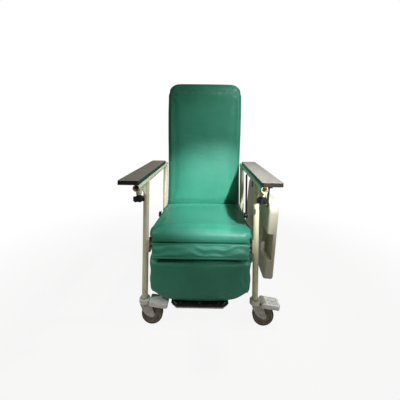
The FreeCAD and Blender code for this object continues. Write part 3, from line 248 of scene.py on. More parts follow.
def bright_steel():
    steel = Finish("bright_steel", Metallic=1.0, Specular_IOR_Level=0.5)
    brushed = steel.noise(900.0, 4.0, 0.6, steel.stretched(1.0, 0.1, 1.0))
    dull = steel.between(steel.noise(80.0, 4.0), 0.4, 0.7)
    color = steel.mix(dull, rgb(0.62, 0.61, 0.58), rgb(0.42, 0.41, 0.39))
    bump = steel.relief(brushed, 0.0001, 0.3)
    return steel.wear(Base_Color=color, Roughness=0.24 + brushed * 0.16 + dull * 0.12, Normal=bump)


def dark_plastic(name, deep, pale, grain=700.0):
    mould = Finish(name, Specular_IOR_Level=0.4)
    pits = mould.noise(grain, 2.0, 0.55)
    dust = mould.between(mould.noise(45.0, 5.0, 0.6), 0.5, 0.78)
    color = mould.mix(dust * 0.6, deep, pale)
    bump = mould.relief(pits, 0.0003, 0.35)
    return mould.wear(Base_Color=color, Roughness=0.42 + dust * 0.25, Normal=bump)


def ribbed_rubber():
    mat = Finish("mat_rubber", Specular_IOR_Level=0.3)
    rib_pitch = 0.006
    across = mat.split(mat.place, "X")
    waves = mat.node("ShaderNodeMath", {"operation": "SINE"}, [across * (2 * math.pi / rib_pitch)])
    ribs = mat.between(waves, -0.2, 0.6)
    dust = mat.between(mat.noise(35.0, 5.0, 0.6), 0.45, 0.75)
    color = mat.mix(dust * 0.45, rgb(0.010, 0.010, 0.010), rgb(0.060, 0.056, 0.050))
    return mat.wear(Base_Color=color, Roughness=0.66 + dust * 0.15, Normal=mat.relief(ribs, 0.0012, 0.8))


def caster_plastic(name, pale, dark, rough, dirt=0.55):
    mould = Finish(name, Specular_IOR_Level=0.4)
    flow = mould.between(mould.noise(32.0, 4.0, 0.55, mould.stretched(1.0, 1.0, 2.0)), 0.3, 0.72)
    grime = mould.between(mould.noise(75.0, 5.0, 0.65), 0.50, 0.72)
    color = mould.mix(flow, pale, dark)
    color = mould.mix(grime * dirt, color, rgb(0.070, 0.058, 0.042))
    speck = mould.relief(mould.noise(800.0, 2.0), 0.0002, 0.3)
    return mould.wear(Base_Color=color, Roughness=rough + grime * 0.2, Normal=speck)


finishes = {
    "green_vinyl": green_vinyl(),
    "cream_paint": cream_paint(),
    "black_paint": dark_plastic("black_paint", rgb(0.012, 0.012, 0.013), rgb(0.045, 0.043, 0.040), 1200.0),
    "laminate": laminate(),
    "plywood": plywood(),
    "bright_steel": bright_steel(),
    "black_plastic": dark_plastic("black_plastic", rgb(0.010, 0.010, 0.010), rgb(0.05, 0.048, 0.044)),
    "tray_plastic": tray_plastic(),
    "mat_rubber": ribbed_rubber(),
    "caster_grey": caster_plastic("caster_grey", rgb(0.66, 0.64, 0.60), rgb(0.52, 0.50, 0.465), 0.45, 0.3),
    "wheel_grey": caster_plastic("wheel_grey", rgb(0.30, 0.265, 0.22), rgb(0.20, 0.175, 0.145), 0.5),
    "pedal_grey": caster_plastic("pedal_grey", rgb(0.86, 0.87, 0.87), rgb(0.74, 0.75, 0.75), 0.38, 0.15),
    "tyre_grey": caster_plastic("tyre_grey", rgb(0.135, 0.118, 0.098), rgb(0.085, 0.075, 0.063), 0.62),
}


def paint(piece, finish):
    piece.data.materials.clear()
    piece.data.materials.append(finishes[finish])


for part in frame["record"]["subparts"]:
    name = part["node"]
    paint(nodes[name], "wheel_grey" if name.endswith("_wheel") else part["material_slot"])


# Modelling helpers

def pick_none():
    if bpy.context.mode != "OBJECT":
        bpy.ops.object.mode_set(mode="OBJECT")
    bpy.ops.object.select_all(action="DESELECT")


def pick(piece):
    pick_none()
    piece.select_set(True)
    bpy.context.view_layer.objects.active = piece


def named(name):
    """The piece just added, named and with its place and scale applied."""
    piece = bpy.context.object
    piece.name = piece.data.name = name
    bpy.ops.object.transform_apply(location=True, rotation=True, scale=True)
    return piece


def block(name, low, high):
    """A block between two corners, the start of a shaped piece."""
    pick_none()
    bpy.ops.mesh.primitive_cube_add(size=1, location=(low + high) / 2)
    bpy.context.object.scale = high - low
    return named(name)


def drum(name, middle, radius, height, sides):
    """An upright round block, with sizes in millimetres."""
    pick_none()
    bpy.ops.mesh.primitive_cylinder_add(
        vertices=sides, radius=radius / 1000, depth=height / 1000, location=middle
    )
    return named(name)


def open_all(piece):
    """Opens a piece in edit mode with all of it selected."""
    pick(piece)
    bpy.ops.object.mode_set(mode="EDIT")
    bpy.ops.mesh.select_all(action="SELECT")


def close():
    bpy.ops.object.mode_set(mode="OBJECT")


def choose(piece, test, kind="FACE"):
    """Selects, in edit mode, the faces, edges or points whose middle and direction pass a test."""
    open_all(piece)
    bpy.ops.mesh.select_mode(type=kind)
    bpy.ops.mesh.select_all(action="DESELECT")
    close()
    mesh = piece.data
    if kind == "FACE":
        for face in mesh.polygons:
            face.select = test(face.center, face.normal)
    elif kind == "EDGE":
        for edge in mesh.edges:
            first, second = (mesh.vertices[index].co for index in edge.vertices)
            edge.select = test((first + second) / 2, (second - first).normalized())
    else:
        for vertex in mesh.vertices:
            vertex.select = test(vertex.co, vertex.normal)
    bpy.ops.object.mode_set(mode="EDIT")


# How far a face or an edge may lie from the plane it is chosen by, in metres
HAIR = 0.001


def upright(way):
    return abs(way.z) > 0.9


def level(way):
    return abs(way.z) < 0.1


def faces_up(normal):
    return normal.z > 0.99


def faces_down(normal):
    return normal.z < -0.99


def round_edges(radius, segments):
    """Rounds the selected edges, with the radius in millimetres."""
    bpy.ops.mesh.bevel(offset=radius / 1000, segments=segments, affect="EDGES")


def raise_faces(rise):
    """Lifts the selected faces by some millimetres, or sinks them, with walls behind them."""
    bpy.ops.mesh.extrude_region_move(TRANSFORM_OT_translate={"value": (0, 0, rise / 1000)})


def panel(margin, rise):
    """Lifts or sinks the selected faces, apart from a margin round them."""
    bpy.ops.mesh.inset(thickness=margin / 1000)
    raise_faces(rise)


def vectors_of(piece, kind):
    flat = np.empty(len(piece.data.vertices) * 3, np.float32)
    piece.data.vertices.foreach_get(kind, flat)
    return flat.reshape(-1, 3).astype(float)


def points_of(piece):
    return vectors_of(piece, "co")


def normals_of(piece):
    return vectors_of(piece, "normal")


def set_points(piece, points):
    piece.data.vertices.foreach_set("co", points.astype(np.float32).ravel())
    piece.data.update()


def smooth(value, low, high):
    share = np.clip((value - low) / (high - low), 0, 1)
    return share * share * (3 - 2 * share)


def local(points, origin, lean):
    """Points in the frame of a leaning piece: across, along Y and up, in metres."""
    turn = Matrix.Rotation(math.radians(lean), 3, "X")
    return (points - np.array(origin)) @ np.array(turn)


# Padded pieces

PRESSURE = 4.0
CLOTH_STEPS = 20
HOLD_STEP = 0.25
INWARD_KEPT = 0.1
FIRST_EASING = 3
LAST_EASING = 6
# What easing the skin takes off its rounded edges, and how near two points are one, in metres
EASED_LOSS = 0.0025
ONE_POINT = 0.00001


def fill_with_air(piece, held, cap):
    """Swells the skin by cloth simulation where it isn't held, by no more than the cap and hardly inward."""
    start = points_of(piece)
    outward = normals_of(piece)
    group = piece.vertex_groups.new(name="held")
    weights = held(start)
    for step in range(1, round(1 / HOLD_STEP) + 1):
        members = np.nonzero(weights >= (step - 0.5) * HOLD_STEP)[0].tolist()
        group.add(members, step * HOLD_STEP, "REPLACE")
    cloth = piece.modifiers.new("fill", "CLOTH")
    cloth.settings.quality = 5
    cloth.settings.mass = 0.3
    cloth.settings.tension_stiffness = 14
    cloth.settings.compression_stiffness = 3
    cloth.settings.shear_stiffness = 4
    cloth.settings.bending_stiffness = 14
    cloth.settings.vertex_group_mass = group.name
    cloth.settings.use_pressure = True
    cloth.settings.uniform_pressure_force = PRESSURE
    cloth.settings.effector_weights.gravity = 0
    cloth.collision_settings.use_collision = False
    for moment in range(1, CLOTH_STEPS + 1):
        scene.frame_set(moment)
    pick(piece)
    bpy.ops.object.modifier_apply(modifier=cloth.name)
    scene.frame_set(1)
    moved = points_of(piece) - start
    drawn_in = np.minimum((moved * outward).sum(axis=1, keepdims=True), 0)
    moved -= (1 - INWARD_KEPT) * drawn_in * outward
    reach = np.linalg.norm(moved, axis=1, keepdims=True) + 1e-9
    set_points(piece, start + moved * (cap * np.tanh(reach / cap) / reach))
    piece.vertex_groups.clear()


def wrapped_copy(name, pad, board, low, high):
    """The pad and the stretch of its board between two heights, as one mesh under the same skin."""
    whole, stretch = (bpy.data.objects.new(name, nodes[node].data.copy()) for node in (pad, board))
    for copy in (whole, stretch):
        scene.collection.objects.link(copy)
    choose(stretch, lambda place, _: not low < place.z < high, "VERT")
    bpy.ops.mesh.delete(type="VERT")
    close()
    whole.select_set(True)
    bpy.context.view_layer.objects.active = whole
    bpy.ops.object.join()
    open_all(whole)
    bpy.ops.mesh.remove_doubles(threshold=ONE_POINT)
    close()
    return whole


def offset_skin(piece, distance):
    offset = piece.modifiers.new("offset", "DISPLACE")
    offset.mid_level = 0
    offset.strength = distance
    bpy.ops.object.modifier_apply(modifier=offset.name)


def ease_skin(piece, rounds):
    ease = piece.modifiers.new("ease", "SMOOTH")
    ease.iterations = rounds
    bpy.ops.object.modifier_apply(modifier=ease.name)


def stuffed(piece, body, voxel, shrink, held, cap, shape, fill, fuller=None):
    """Makes a closed mesh into a padded piece: filled with air, eased, refined and given its seams.

    Voxel, shrink and cap are in metres.
    """
    pick(piece)
    piece.data.remesh_voxel_size = voxel
    bpy.ops.object.voxel_remesh()
    offset_skin(piece, -shrink)
    ease_skin(piece, FIRST_EASING)
    fill_with_air(piece, held, cap)
    ease_skin(piece, LAST_EASING)
    offset_skin(piece, EASED_LOSS)
    finer = piece.modifiers.new("finer", "SUBSURF")
    finer.levels = finer.render_levels = 1
    bpy.ops.object.modifier_apply(modifier=finer.name)
    if fuller:
        set_points(piece, fuller(points_of(piece)))
    points = points_of(piece)
    set_points(piece, points + normals_of(piece) * shape(points)[:, None])
    bpy.ops.object.shade_smooth()
    paint(piece, "green_vinyl")
    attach(piece, body)


def padded_piece(name, pad, board, span, body, **making):
    """A pad and its board under one skin, in place of both nodes."""
    piece = wrapped_copy(name, pad, board, *span)
    stuffed(piece, body, **making)
    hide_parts(pad, board)


def near(distance, width):
    """One on a line, such as a sewn one, and fading to both sides of it."""
    return np.exp(-((distance / width) ** 2))


def measured(points):
    """Places across in metres, and rearward and up in millimetres, from the middle of the front legs."""
    return points[:, 0] - base.x, (points[:, 1] - base.y) * 1000, points[:, 2] * 1000


seat_origin = at(0, -18, 389)
back_origin = at(0, 544.5, 392)
SEAT_TILT = -3.1
BACK_LEAN = -5.6
legrest_pad_rear = at(0, 40, 0).y


def seat_held(points):
    p = local(points, seat_origin, SEAT_TILT)
    return 1 - smooth(p[:, 2], 0.010, 0.020)


def seat_shape(points):
    """A sat-in hollow, pulls at the edges, rolled sides and rear, and the front seam."""
    p = local(points, seat_origin, SEAT_TILT)
    x, y, z = p.T
    top = smooth(z, 0.035, 0.048)
    front_seam = near(z - 0.012, 0.003) * smooth(y, 0.03, 0.0)
    rear_pull = 0.0006 * np.sin(np.abs(x) * 150 + 2.0 * np.sin(y * 31)) * near(y - 0.40, 0.05) * top
    side_pull = 0.0007 * np.sin(y * 210 + 3.0 * np.sin(x * 17)) * near(np.abs(x) - 0.222, 0.016) * top
    sat = -0.004 * near(x, 0.15) * near(y - 0.26, 0.14) * top
    side_roll = 0.007 * smooth(np.abs(x), 0.225, 0.240)
    side_roll *= smooth(z, 0.016, 0.026) * smooth(z, 0.070, 0.050)
    rear_roll = 0.007 * smooth(y, 0.395, 0.43) * smooth(z, 0.006, 0.020)
    return sat + rear_pull + side_pull + np.maximum(side_roll, rear_roll) - 0.0016 * front_seam


def back_held(points):
    p = local(points, back_origin, BACK_LEAN)
    return smooth(p[:, 1], -0.040, -0.030)


def back_shape(points):
    """Faint bands, creased corners, swollen flanks and foot, a soft rim and the edge seam."""
    p = local(points, back_origin, BACK_LEAN)
    x, y, z = p.T
    front = smooth(-y, 0.045, 0.060)
    bands = 0.00009 * np.sin(z * 190 + 2.2 * np.sin(x * 13 + 0.6) + 1.2 * np.sin(x * 41))
    bands *= near(z - 0.40, 0.16) * smooth(np.abs(x), 0.24, 0.12)
    corner = 0.0003 * np.sin((np.abs(x) - z) * 160)
    corner *= near(z - 0.80, 0.05) * smooth(np.abs(x), 0.12, 0.2)
    edge_seam = near(-y - 0.030, 0.003)
    flank = smooth(-y, 0.012, 0.035) * smooth(-y, 0.066, 0.046)
    puffed_top = 0.012 * smooth(z, 0.745, 0.835) * flank
    puffed_sides = 0.006 * smooth(np.abs(x), 0.170, 0.243) * flank
    puffed_foot = 0.010 * smooth(z, 0.060, 0.025) * smooth(-y, 0.005, 0.025) * smooth(-y, 0.072, 0.050)
    puffed = np.maximum.reduce([puffed_top, puffed_sides, puffed_foot])
    rim = 0.0007 * near(np.maximum(z - 0.795, np.abs(x) - 0.205), 0.012) * smooth(z, 0.72, 0.80) * front
    return (bands + corner) * front + puffed - rim - 0.0014 * edge_seam


def calf_held(points):
    return smooth(points[:, 1], legrest_pad_rear - 0.012, legrest_pad_rear - 0.005)


def calf_shape(points):
    """Puckers under the top edge, shallow dents and the edge seam."""
    x, y, z = measured(points)
    front = smooth(-y, -5, 3)
    edge_seam = near((y - 22) / 1000, 0.003)
    puckers = 0.0002 * np.sin(np.abs(x) * 230 + 1.5 * np.sin(z / 21)) * near((z - 303) / 1000, 0.010)
    dents = 0.0005 * np.sin(x * 21 + 1) * np.sin(z / 34) * front
    return puckers + dents - 0.0014 * edge_seam


def calf_fuller(points):
    """Draws the front forward, the sides out above the cut corners, and the foot edge down."""
    x, y, z = measured(points)
    front = smooth(-y, -22, 0)
    out = 0.010 * smooth(np.abs(x), 0.190, 0.222) * smooth(-y, -30, -14)
    out *= smooth(z, 146, 170) * smooth(z, 265, 205)
    forward = 0.016 * front * smooth(z, 317, 285)
    down = 0.0035 * smooth(z, 136, 120) * smooth(np.abs(x), 0.150, 0.120) * front
    return points + np.stack([np.sign(x) * out, -forward, -down], axis=1)


def knee_held(points):
    rear = smooth(points[:, 1], legrest_pad_rear - 0.002, legrest_pad_rear + 0.004)
    return np.maximum(rear, smooth(points[:, 2], 0.325, 0.319))


def knee_shape(points):
    """Loose folds, deepest on the right, and the hem."""
    x, _, z = measured(points)
    slack = near(x - 0.10, 0.13) + 0.35
    folds = np.sin((z - 318) / 4.2 + 1.6 * np.sin(x * 24) + 0.9 * np.sin(x * 61 + 1))
    hem = near((z - 325) / 1000, 0.002)
    return 0.0013 * folds * slack * smooth(z, 322, 328) * smooth(z, 352, 342) - 0.0012 * hem


# Heights in metres below and above the whole chair, and where the knee roll parts from the calf pad
BELOW = -1.0
ABOVE = 2.0
knee_split = at(0, 0, 317.5).z
padded_piece(
    "seat_pad", "seat_cushion", "seat_board", (BELOW, ABOVE), "frame",
    voxel=0.006, shrink=0.002, held=seat_held, cap=0.006, shape=seat_shape, fill=0.75,
)
padded_piece(
    "back_pad", "back_cushion", "back_board", (BELOW, ABOVE), "back",
    voxel=0.007, shrink=0.002, held=back_held, cap=0.006, shape=back_shape, fill=0.75,
)
padded_piece(
    "calf_cushion", "calf_pad", "legrest_boards", (BELOW, knee_split), "legrest",
    voxel=0.005, shrink=0.002, held=calf_held, cap=0.005, shape=calf_shape, fill=0.75, fuller=calf_fuller,
)
padded_piece(
    "knee_roll", "knee_pad", "legrest_boards", (knee_split, ABOVE), "legrest",
    voxel=0.004, shrink=0.0015, held=knee_held, cap=0.004, shape=knee_shape, fill=0.5,
)


# Knee flap: hangs from the seat's front edge over the knee roll

FLAP_TOP = 385.0
FLAP_HEM = 323.0
FLAP_HALF = 229.0
FLAP_LEAN = 0.33
FLAP_FRONT = -13.0
FLAP_REAR = -5.5
FLAP_EDGE = 2.5
flap_front = at(0, FLAP_FRONT, 0).y
flap_rear = at(0, FLAP_REAR, 0).y


def flap_start():
    """A thin rounded strip, hung with its hem forward."""
    flap = block("knee_flap", at(-FLAP_HALF, FLAP_FRONT, FLAP_HEM), at(FLAP_HALF, FLAP_REAR, FLAP_TOP))
    open_all(flap)
    round_edges(FLAP_EDGE, 2)
    close()
    points = points_of(flap)
    points[:, 1] -= FLAP_LEAN * (FLAP_TOP / 1000 - points[:, 2])
    set_points(flap, points)
    return flap


def flap_depth(points):
    """Place through the flap's thickness, as if it hung straight down."""
    return points[:, 1] + FLAP_LEAN * (FLAP_TOP / 1000 - points[:, 2])


def flap_held(points):
    top_edge = smooth(points[:, 2] * 1000, FLAP_TOP - 14, FLAP_TOP - 6)
    return np.maximum(top_edge, smooth(flap_depth(points), flap_rear - 0.003, flap_rear))


def flap_shape(points):
    """Loose folds across the front, and a rolled hem with its sewn line."""
    x, _, z = measured(points)
    front = smooth(flap_depth(points), flap_rear - 0.002, flap_front + 0.001)
    slack = 0.35 + near(x - 0.09, 0.12) + 0.4 * near(x + 0.15, 0.08)
    folds = np.sin((z - 330) / 5.4 + 1.7 * np.sin(x * 23) + 0.8 * np.sin(x * 57 + 1))
    hem_line = near((z - 331) / 1000, 0.0015)
    hem_roll = 0.0012 * smooth(z, 332, 329)
    lifted = 0.0018 * folds * slack * smooth(z, 334, 341) * smooth(z, 384, 372)
    return front * (lifted + hem_roll) - 0.0012 * hem_line


knee_flap = flap_start()
stuffed(
    knee_flap, "frame",
    voxel=0.003, shrink=0.0008, held=flap_held, cap=0.004, shape=flap_shape, fill=0.4,
)
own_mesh(knee_flap)


# Small fittings, with their sizes in millimetres

def fit(piece, body, finish, angle=35):
    """Paints a finished fitting and hangs it on the body it moves with."""
    open_all(piece)
    bpy.ops.mesh.normals_make_consistent(inside=False)
    close()
    bpy.ops.object.shade_smooth_by_angle(angle=math.radians(angle))
    paint(piece, finish)
    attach(piece, body)


def bead(name, lines, radius, body, finish, closed=False):
    """One piece of round bars, each laid along a line of points."""
    curve = bpy.data.curves.new(name, "CURVE")
    curve.dimensions = "3D"
    curve.bevel_depth = radius / 1000
    curve.bevel_resolution = 3
    curve.use_fill_caps = True
    for line in lines:
        bar = curve.splines.new("POLY")
        bar.points.add(len(line) - 1)
        for point, place in zip(bar.points, line):
            point.co = (*place, 1)
        bar.use_cyclic_u = closed
    piece = bpy.data.objects.new(name, curve)
    scene.collection.objects.link(piece)
    pick(piece)
    bpy.ops.object.convert(target="MESH")
    fit(bpy.context.object, body, finish, angle=60)


PEDAL_PIN = 31.0
PEDAL_PIN_HEIGHT = 107.5
PEDAL_START = 29.5
PEDAL_END = 113.5
PEDAL_SIDE = 31.5
PEDAL_TOP = 118.5
PEDAL_LOW = 98.5
PEDAL_SLOPE = 8.0
PEDAL_CORNER = 12.0
PEDAL_EDGE = 4.0
PEDAL_WALL = 2.5
PEDAL_HOLLOW = 16.5
TREAD_FRAME = 6.0
TREAD_SUNK = 1.6
TREAD_LINES = 4
TREAD_PITCH = 4.5
TREAD_RISE = 2.2


def pedal_cap(side, x):
    """The pedal's moulded tread: a rounded hollow cap with a framed, ribbed top."""
    low = at(x + PEDAL_START, -PEDAL_SIDE, PEDAL_LOW)
    high = at(x + PEDAL_END, PEDAL_SIDE, PEDAL_TOP)
    ribs = [at(x, (line + 0.5) * TREAD_PITCH, 0).y for line in range(-TREAD_LINES, TREAD_LINES, 2)]

    def in_tread(middle, normal):
        return faces_up(normal) and middle.z < high.z - HAIR

    def in_rib(middle, normal):
        return in_tread(middle, normal) and min(abs(middle.y - rib) for rib in ribs) < HAIR

    cap = block(f"front_{side}_pedal_cap", low, high)
    choose(cap, lambda middle, way: upright(way) and middle.x > high.x - HAIR, "EDGE")
    round_edges(PEDAL_CORNER, 5)
    choose(cap, lambda middle, way: level(way) and middle.z > high.z - HAIR, "EDGE")
    round_edges(PEDAL_EDGE, 4)
    choose(cap, lambda middle, normal: faces_up(normal))
    panel(TREAD_FRAME, -TREAD_SUNK)
    for line in range(-TREAD_LINES, TREAD_LINES + 1):
        choose(cap, in_tread)
        bpy.ops.mesh.bisect(plane_co=at(x, line * TREAD_PITCH, 0), plane_no=(0, 1, 0))
    choose(cap, in_rib)
    raise_faces(TREAD_RISE)
    choose(cap, lambda middle, normal: faces_down(normal) and middle.z < low.z + HAIR)
    panel(PEDAL_WALL, PEDAL_HOLLOW)
    bpy.ops.mesh.select_all(action="SELECT")
    pin = at(x + PEDAL_PIN, 0, PEDAL_PIN_HEIGHT)
    bpy.ops.transform.rotate(value=math.radians(-PEDAL_SLOPE), orient_axis="Y", center_override=pin)
    fit(cap, f"front_{side}_pedal", "pedal_grey")


for side, x in SIDES:
    pedal_cap(side, x)


def arc_points(first, bow, last, count=14):
    """Points along a bowed line from the first place to the last."""
    steps = [step / (count - 1) for step in range(count)]
    return [first * (1 - s) ** 2 + bow * (2 * s * (1 - s)) + last * s**2 for s in steps]


FORK_CHEEK = 18.8
FORK_RIB_R = 1.7
# Where each rib starts, bows and ends: out from the leg's axis, and up from the floor
FORK_RIBS_OUT = ((-16, -8, 27), (2, 12, 38), (14, 33, 47))
FORK_RIBS_UP = (99, 72, 55)


def fork_ribs(name, x, y):
    """Raised ribs down both cheeks of a fork, from the swivel head to the axle."""
    ribs = []
    for cheek in (-FORK_CHEEK, FORK_CHEEK):
        for outs in FORK_RIBS_OUT:
            ribs.append(arc_points(*(at(x + out, y + cheek, up) for out, up in zip(outs, FORK_RIBS_UP))))
    bead(f"{name}_fork_ribs", ribs, FORK_RIB_R, f"{name}_caster", "caster_grey")


for corner, x, y in CORNERS:
    fork_ribs(corner, x, y)


# Moulded cowls over the swivel heads

COWL_R = 25.6
COWL_LOW = 101.5
COWL_TOP = 119.5
COWL_EDGE = 3.0
COLLAR_ROOM = 17.5
COLLAR_SUNK = 2.2
BAND_UP = 4.5
BAND_HALF = 2.5
BAND_RISE = 0.8


def head_cowl():
    """A round cowl with a room for the collar in its top and a band round its foot."""
    middle = Vector((0, 0, (COWL_LOW + COWL_TOP) / 2000))
    cowl = drum("head_cowl", middle, COWL_R, COWL_TOP - COWL_LOW, sides=40)
    top = COWL_TOP / 1000
    choose(cowl, lambda middle, way: level(way) and middle.z > top - HAIR, "EDGE")
    round_edges(COWL_EDGE, 3)
    choose(cowl, lambda middle, normal: faces_up(normal))
    panel(COWL_R - COWL_EDGE - COLLAR_ROOM, -COLLAR_SUNK)
    wall_top = top - COWL_EDGE / 1000
    choose(cowl, lambda middle, normal: level(normal) and middle.z < wall_top - HAIR)
    bpy.ops.mesh.subdivide(number_cuts=3)
    band = (COWL_LOW + BAND_UP) / 1000
    choose(cowl, lambda middle, normal: level(normal) and abs(middle.z - band) < BAND_HALF / 1000)
    bpy.ops.mesh.extrude_region_shrink_fatten(TRANSFORM_OT_shrink_fatten={"value": -BAND_RISE / 1000})
    close()
    return cowl


cowl = head_cowl()
for corner, x, y in CORNERS:
    copy = bpy.data.objects.new(f"{corner}_head_cowl", cowl.data.copy())
    copy.data.name = copy.name
    scene.collection.objects.link(copy)
    copy.data.transform(Matrix.Translation(at(x, y, 0)))
    fit(copy, f"{corner}_caster", "pedal_grey")
bpy.data.objects.remove(cowl)


# Rubber edging round the front of the footplate

EDGING_LINE = ((-131, 4), (-131, -11), (-107, -32), (107, -32), (131, -11), (131, 4))
EDGING_HEIGHT = 106.2
EDGING_R = 5.6
edging = [at(x, y, EDGING_HEIGHT) for x, y in EDGING_LINE]
bead("mat_edging", [edging], EDGING_R, "footrest", "mat_rubber")


# Weld beads where the legs meet the arm tubes

TUBE_R = 14.2
TUBE_HEIGHT = 684.0
WELD_R = 2.2
WELD_STEPS = 40


def saddle(x, y):
    """The closed line where a leg meets the arm tube over it."""
    turns = [2 * math.pi * step / WELD_STEPS for step in range(WELD_STEPS)]
    ring = [(TUBE_R * math.cos(turn), TUBE_R * math.sin(turn)) for turn in turns]
    return [at(x + across, y + along, TUBE_HEIGHT - abs(along)) for across, along in ring]


for side, x in SIDES:
    welds = [saddle(x, 0.0), saddle(x, REAR_LEG)]
    bead(f"{side}_arm_welds", welds, WELD_R, "frame", "cream_paint", closed=True)


# Clamp bosses under the arm tubes, round the knobs' studs

BOSS_R = 12.0
BOSS_LOW = 646.0
BOSS_TOP = 672.0
BOSS_FORWARD = 125.0
BOSS_EDGE = 2.5
BOSS_WALL = 2.5
BOSS_HOLLOW = 6.0


def clamp_boss(side, x):
    """A round boss with a recess in its foot."""
    middle = at(x, -BOSS_FORWARD, (BOSS_LOW + BOSS_TOP) / 2)
    boss = drum(f"{side}_clamp_boss", middle, BOSS_R, BOSS_TOP - BOSS_LOW, sides=32)
    low = at(0, 0, BOSS_LOW).z
    choose(boss, lambda middle, way: level(way) and middle.z < low + HAIR, "EDGE")
    round_edges(BOSS_EDGE, 3)
    choose(boss, lambda middle, normal: faces_down(normal))
    panel(BOSS_WALL, BOSS_HOLLOW)
    fit(boss, "frame", "cream_paint")


for side, x in SIDES:
    clamp_boss(side, x)


# Welt and dome tacks of the back's rear cover

COVER_HALF = 246.0
COVER_LOW = 22.0
COVER_TOP = 825.0
COVER_CORNER = 62.0
COVER_REAR = 15.6
TACK_INSET = 12.0
TACK_PITCH = 62.0
TACK_R = 5.5
TACK_SUNK = 0.4
TACK_CUT = 0.5
TACK_FLATNESS = 0.55
WELT_R = 2.6
WELT_OUT = 0.8
WELT_DEPTH = -10.0
WELT_PITCH = 9.0


def on_back(x, y, z):
    """A place on the leaning back, in millimetres from its hinge."""
    turn = Matrix.Rotation(math.radians(BACK_LEAN), 3, "X")
    return back_origin + turn @ Vector((x, y, z)) / 1000


def cover_line(inset, y, pitch):
    """Places at an even pitch up one side of the cover, over its top and down the other side."""
    half = COVER_HALF - inset
    top = COVER_TOP - inset
    corner = COVER_CORNER - inset
    rise = top - corner - COVER_LOW
    across = 2 * (half - corner)
    bend = corner * math.pi / 2
    length = 2 * (rise + bend) + across
    places = []
    count = int(length / pitch)
    for step in range(count + 1):
        along = step * length / count
        side = 1 if along > length / 2 else -1
        along = min(along, length - along)
        if along < rise:
            x, z = half, COVER_LOW + along
        elif along < rise + bend:
            angle = (along - rise) / corner
            x, z = half - corner + corner * math.cos(angle), top - corner + corner * math.sin(angle)
        else:
            x, z = half - corner - (along - rise - bend), top
        places.append(on_back(side * x, y, z))
    return places


def cover_tacks():
    """Low domes round the rear cover, as one piece."""
    pick_none()
    poles_rearward = (math.pi / 2, 0, 0)
    bpy.ops.mesh.primitive_uv_sphere_add(
        segments=14, ring_count=8, radius=TACK_R / 1000, rotation=poles_rearward
    )
    tack = named("tack_form")
    open_all(tack)
    cut = (0, TACK_CUT / 1000, 0)
    bpy.ops.mesh.bisect(plane_co=cut, plane_no=(0, 1, 0), use_fill=True, clear_inner=True)
    bpy.ops.mesh.select_all(action="SELECT")
    bpy.ops.transform.resize(value=(1.0, TACK_FLATNESS, 1.0), center_override=(0, 0, 0))
    close()
    lean = Matrix.Rotation(math.radians(BACK_LEAN), 4, "X")
    copies = []
    for place in cover_line(TACK_INSET, COVER_REAR - TACK_SUNK, TACK_PITCH):
        copy = bpy.data.objects.new("tack", tack.data.copy())
        scene.collection.objects.link(copy)
        copy.data.transform(Matrix.Translation(place) @ lean)
        copies.append(copy)
    bpy.data.objects.remove(tack)
    pick(copies[0])
    for copy in copies:
        copy.select_set(True)
    bpy.ops.object.join()
    copies[0].name = copies[0].data.name = "rear_cover_tacks"
    fit(copies[0], "back", "bright_steel", angle=60)


cover_tacks()
welt = cover_line(-WELT_OUT, WELT_DEPTH, WELT_PITCH)
bead("rear_cover_welt", [welt], WELT_R, "back", "green_vinyl")


# Floor, light and camera

def studio_floor():
    """A pale floor that the camera sees nearly white, most of all far from the chair."""
    pick_none()
    bpy.ops.mesh.primitive_plane_add(size=60, location=(0, 0, 0))
    floor = bpy.context.object
    floor.name = "floor"
    cover = Finish("pale_floor", Roughness=0.9, Specular_IOR_Level=0.1)
    cover.shader.inputs["Base Color"].default_value = rgb(0.58, 0.57, 0.54)
    away = cover.node("ShaderNodeVectorMath", {"operation": "LENGTH"}, [cover.place], "Value")
    rays = cover.node("ShaderNodeLightPath", output="Is Camera Ray")
    glossy = cover.node("ShaderNodeLightPath", output="Is Glossy Ray")
    through = cover.node("ShaderNodeLightPath", output="Is Transmission Ray")
    seen = rays.math("MAXIMUM", rays, 0.15 * glossy + through)
    share = (0.90 + 0.10 * cover.between(away, 0.7, 2.0)) * seen
    white = cover.node("ShaderNodeEmission", {}, {"Color": rgb(1, 1, 1), "Strength": 1.0})
    mixed = cover.node("ShaderNodeMixShader", {}, [share, Wire(cover, cover.shader.outputs[0]), white])
    cover.tree.links.new(mixed.socket, cover.tree.nodes["Material Output"].inputs["Surface"])
    floor.data.materials.append(cover.material)


WARM = (1.0, 0.95, 0.74)


def sky(strength):
    """A weak warm light from all round, with a white backdrop for the camera."""
    world = bpy.data.worlds.new("studio")
    scene.world = world
    world.use_nodes = True
    tree = world.node_tree
    tree.nodes.clear()
    out = tree.nodes.new("ShaderNodeOutputWorld")
    paths = tree.nodes.new("ShaderNodeLightPath")
    seen = tree.nodes.new("ShaderNodeMath")
    seen.operation = "MAXIMUM"
    tree.links.new(paths.outputs["Is Camera Ray"], seen.inputs[0])
    tree.links.new(paths.outputs["Is Transmission Ray"], seen.inputs[1])
    light = tree.nodes.new("ShaderNodeBackground")
    light.inputs["Color"].default_value = rgb(*WARM)
    light.inputs["Strength"].default_value = strength
    backdrop = tree.nodes.new("ShaderNodeBackground")
    backdrop.inputs["Color"].default_value = rgb(1, 1, 1)
    mixed = tree.nodes.new("ShaderNodeMixShader")
    tree.links.new(seen.outputs[0], mixed.inputs[0])
    tree.links.new(light.outputs[0], mixed.inputs[1])
    tree.links.new(backdrop.outputs[0], mixed.inputs[2])
    tree.links.new(mixed.outputs[0], out.inputs[0])


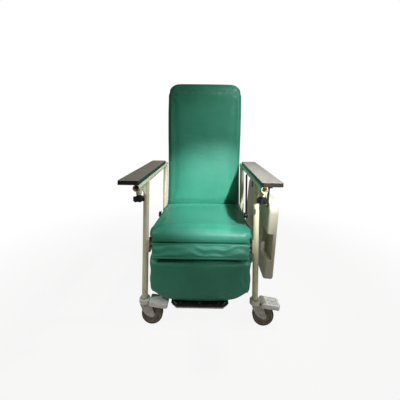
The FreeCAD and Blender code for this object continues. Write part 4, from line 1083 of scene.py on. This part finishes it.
def aimed(name, kind, place, target, energy, **settings):
    lamp = bpy.data.lights.new(name, kind)
    lamp.energy = energy
    for key, value in settings.items():
        setattr(lamp, key, value)
    holder = bpy.data.objects.new(name, lamp)
    scene.collection.objects.link(holder)
    holder.location = place
    holder.rotation_euler = (Vector(target) - Vector(place)).to_track_quat("-Z", "Y").to_euler()


studio_floor()
sky(0.10)
seat_rear = at(25, 468, 415)
toward_front_light = Vector((0.5, -1.57, 1.0)).normalized()
aimed("front_light", "SPOT", seat_rear + 2.3 * toward_front_light, seat_rear, energy=290,
      spot_size=math.radians(23), spot_blend=1.0, shadow_soft_size=0.03)
seat_middle = at(60, 200, 450)
toward_top_light = Vector((0.45, -0.12, 1.0)).normalized()
aimed("top_light", "SPOT", seat_middle + 2.0 * toward_top_light, seat_middle, energy=80,
      spot_size=math.radians(54), spot_blend=0.8, shadow_soft_size=0.06)
aimed("front_fill", "AREA", (0.95, -1.8, 2.6), (0.0, 0.2, 0.8), energy=8.5,
      shape="SQUARE", size=1.0, color=WARM)
aimed("right_fill", "AREA", (1.9, -0.9, 1.7), (0.25, -0.1, 0.45), energy=8, shape="SQUARE", size=0.6)
aimed("left_fill", "SPOT", (-1.55, -0.95, 1.7), at(-430, 0, 380), energy=52,
      spot_size=math.radians(18), spot_blend=1.0, shadow_soft_size=0.1)
aimed("rear_fill", "AREA", (0.1, 2.8, 2.4), (0.0, 0.2, 0.6), energy=14, shape="SQUARE", size=1.8)

# The photograph's camera: picture width, focal length and eye point in pixels, then its place and angles
PICTURE = 400
FOCAL = 241.6
EYE_X = 207.9
EYE_Y = 128.6
SENSOR = 36
CAMERA_PLACE = at(33.0, -1159, 933.4)
CAMERA_YAW = 0.3
CAMERA_ROLL = 0.8


def about(degrees, axis):
    return Matrix.Rotation(math.radians(degrees), 4, axis)


lens = bpy.data.cameras.new("camera")
lens.sensor_width = SENSOR
lens.lens = FOCAL / PICTURE * SENSOR
lens.shift_x = (PICTURE / 2 - EYE_X) / PICTURE
lens.shift_y = (EYE_Y - PICTURE / 2) / PICTURE
lens.clip_start = 0.05
camera = bpy.data.objects.new("camera", lens)
scene.collection.objects.link(camera)
level = about(CAMERA_YAW, "Z") @ about(90, "X")
camera.matrix_world = Matrix.Translation(CAMERA_PLACE) @ level @ about(CAMERA_ROLL, "Z")
scene.camera = camera
scene.view_settings.view_transform = "Standard"
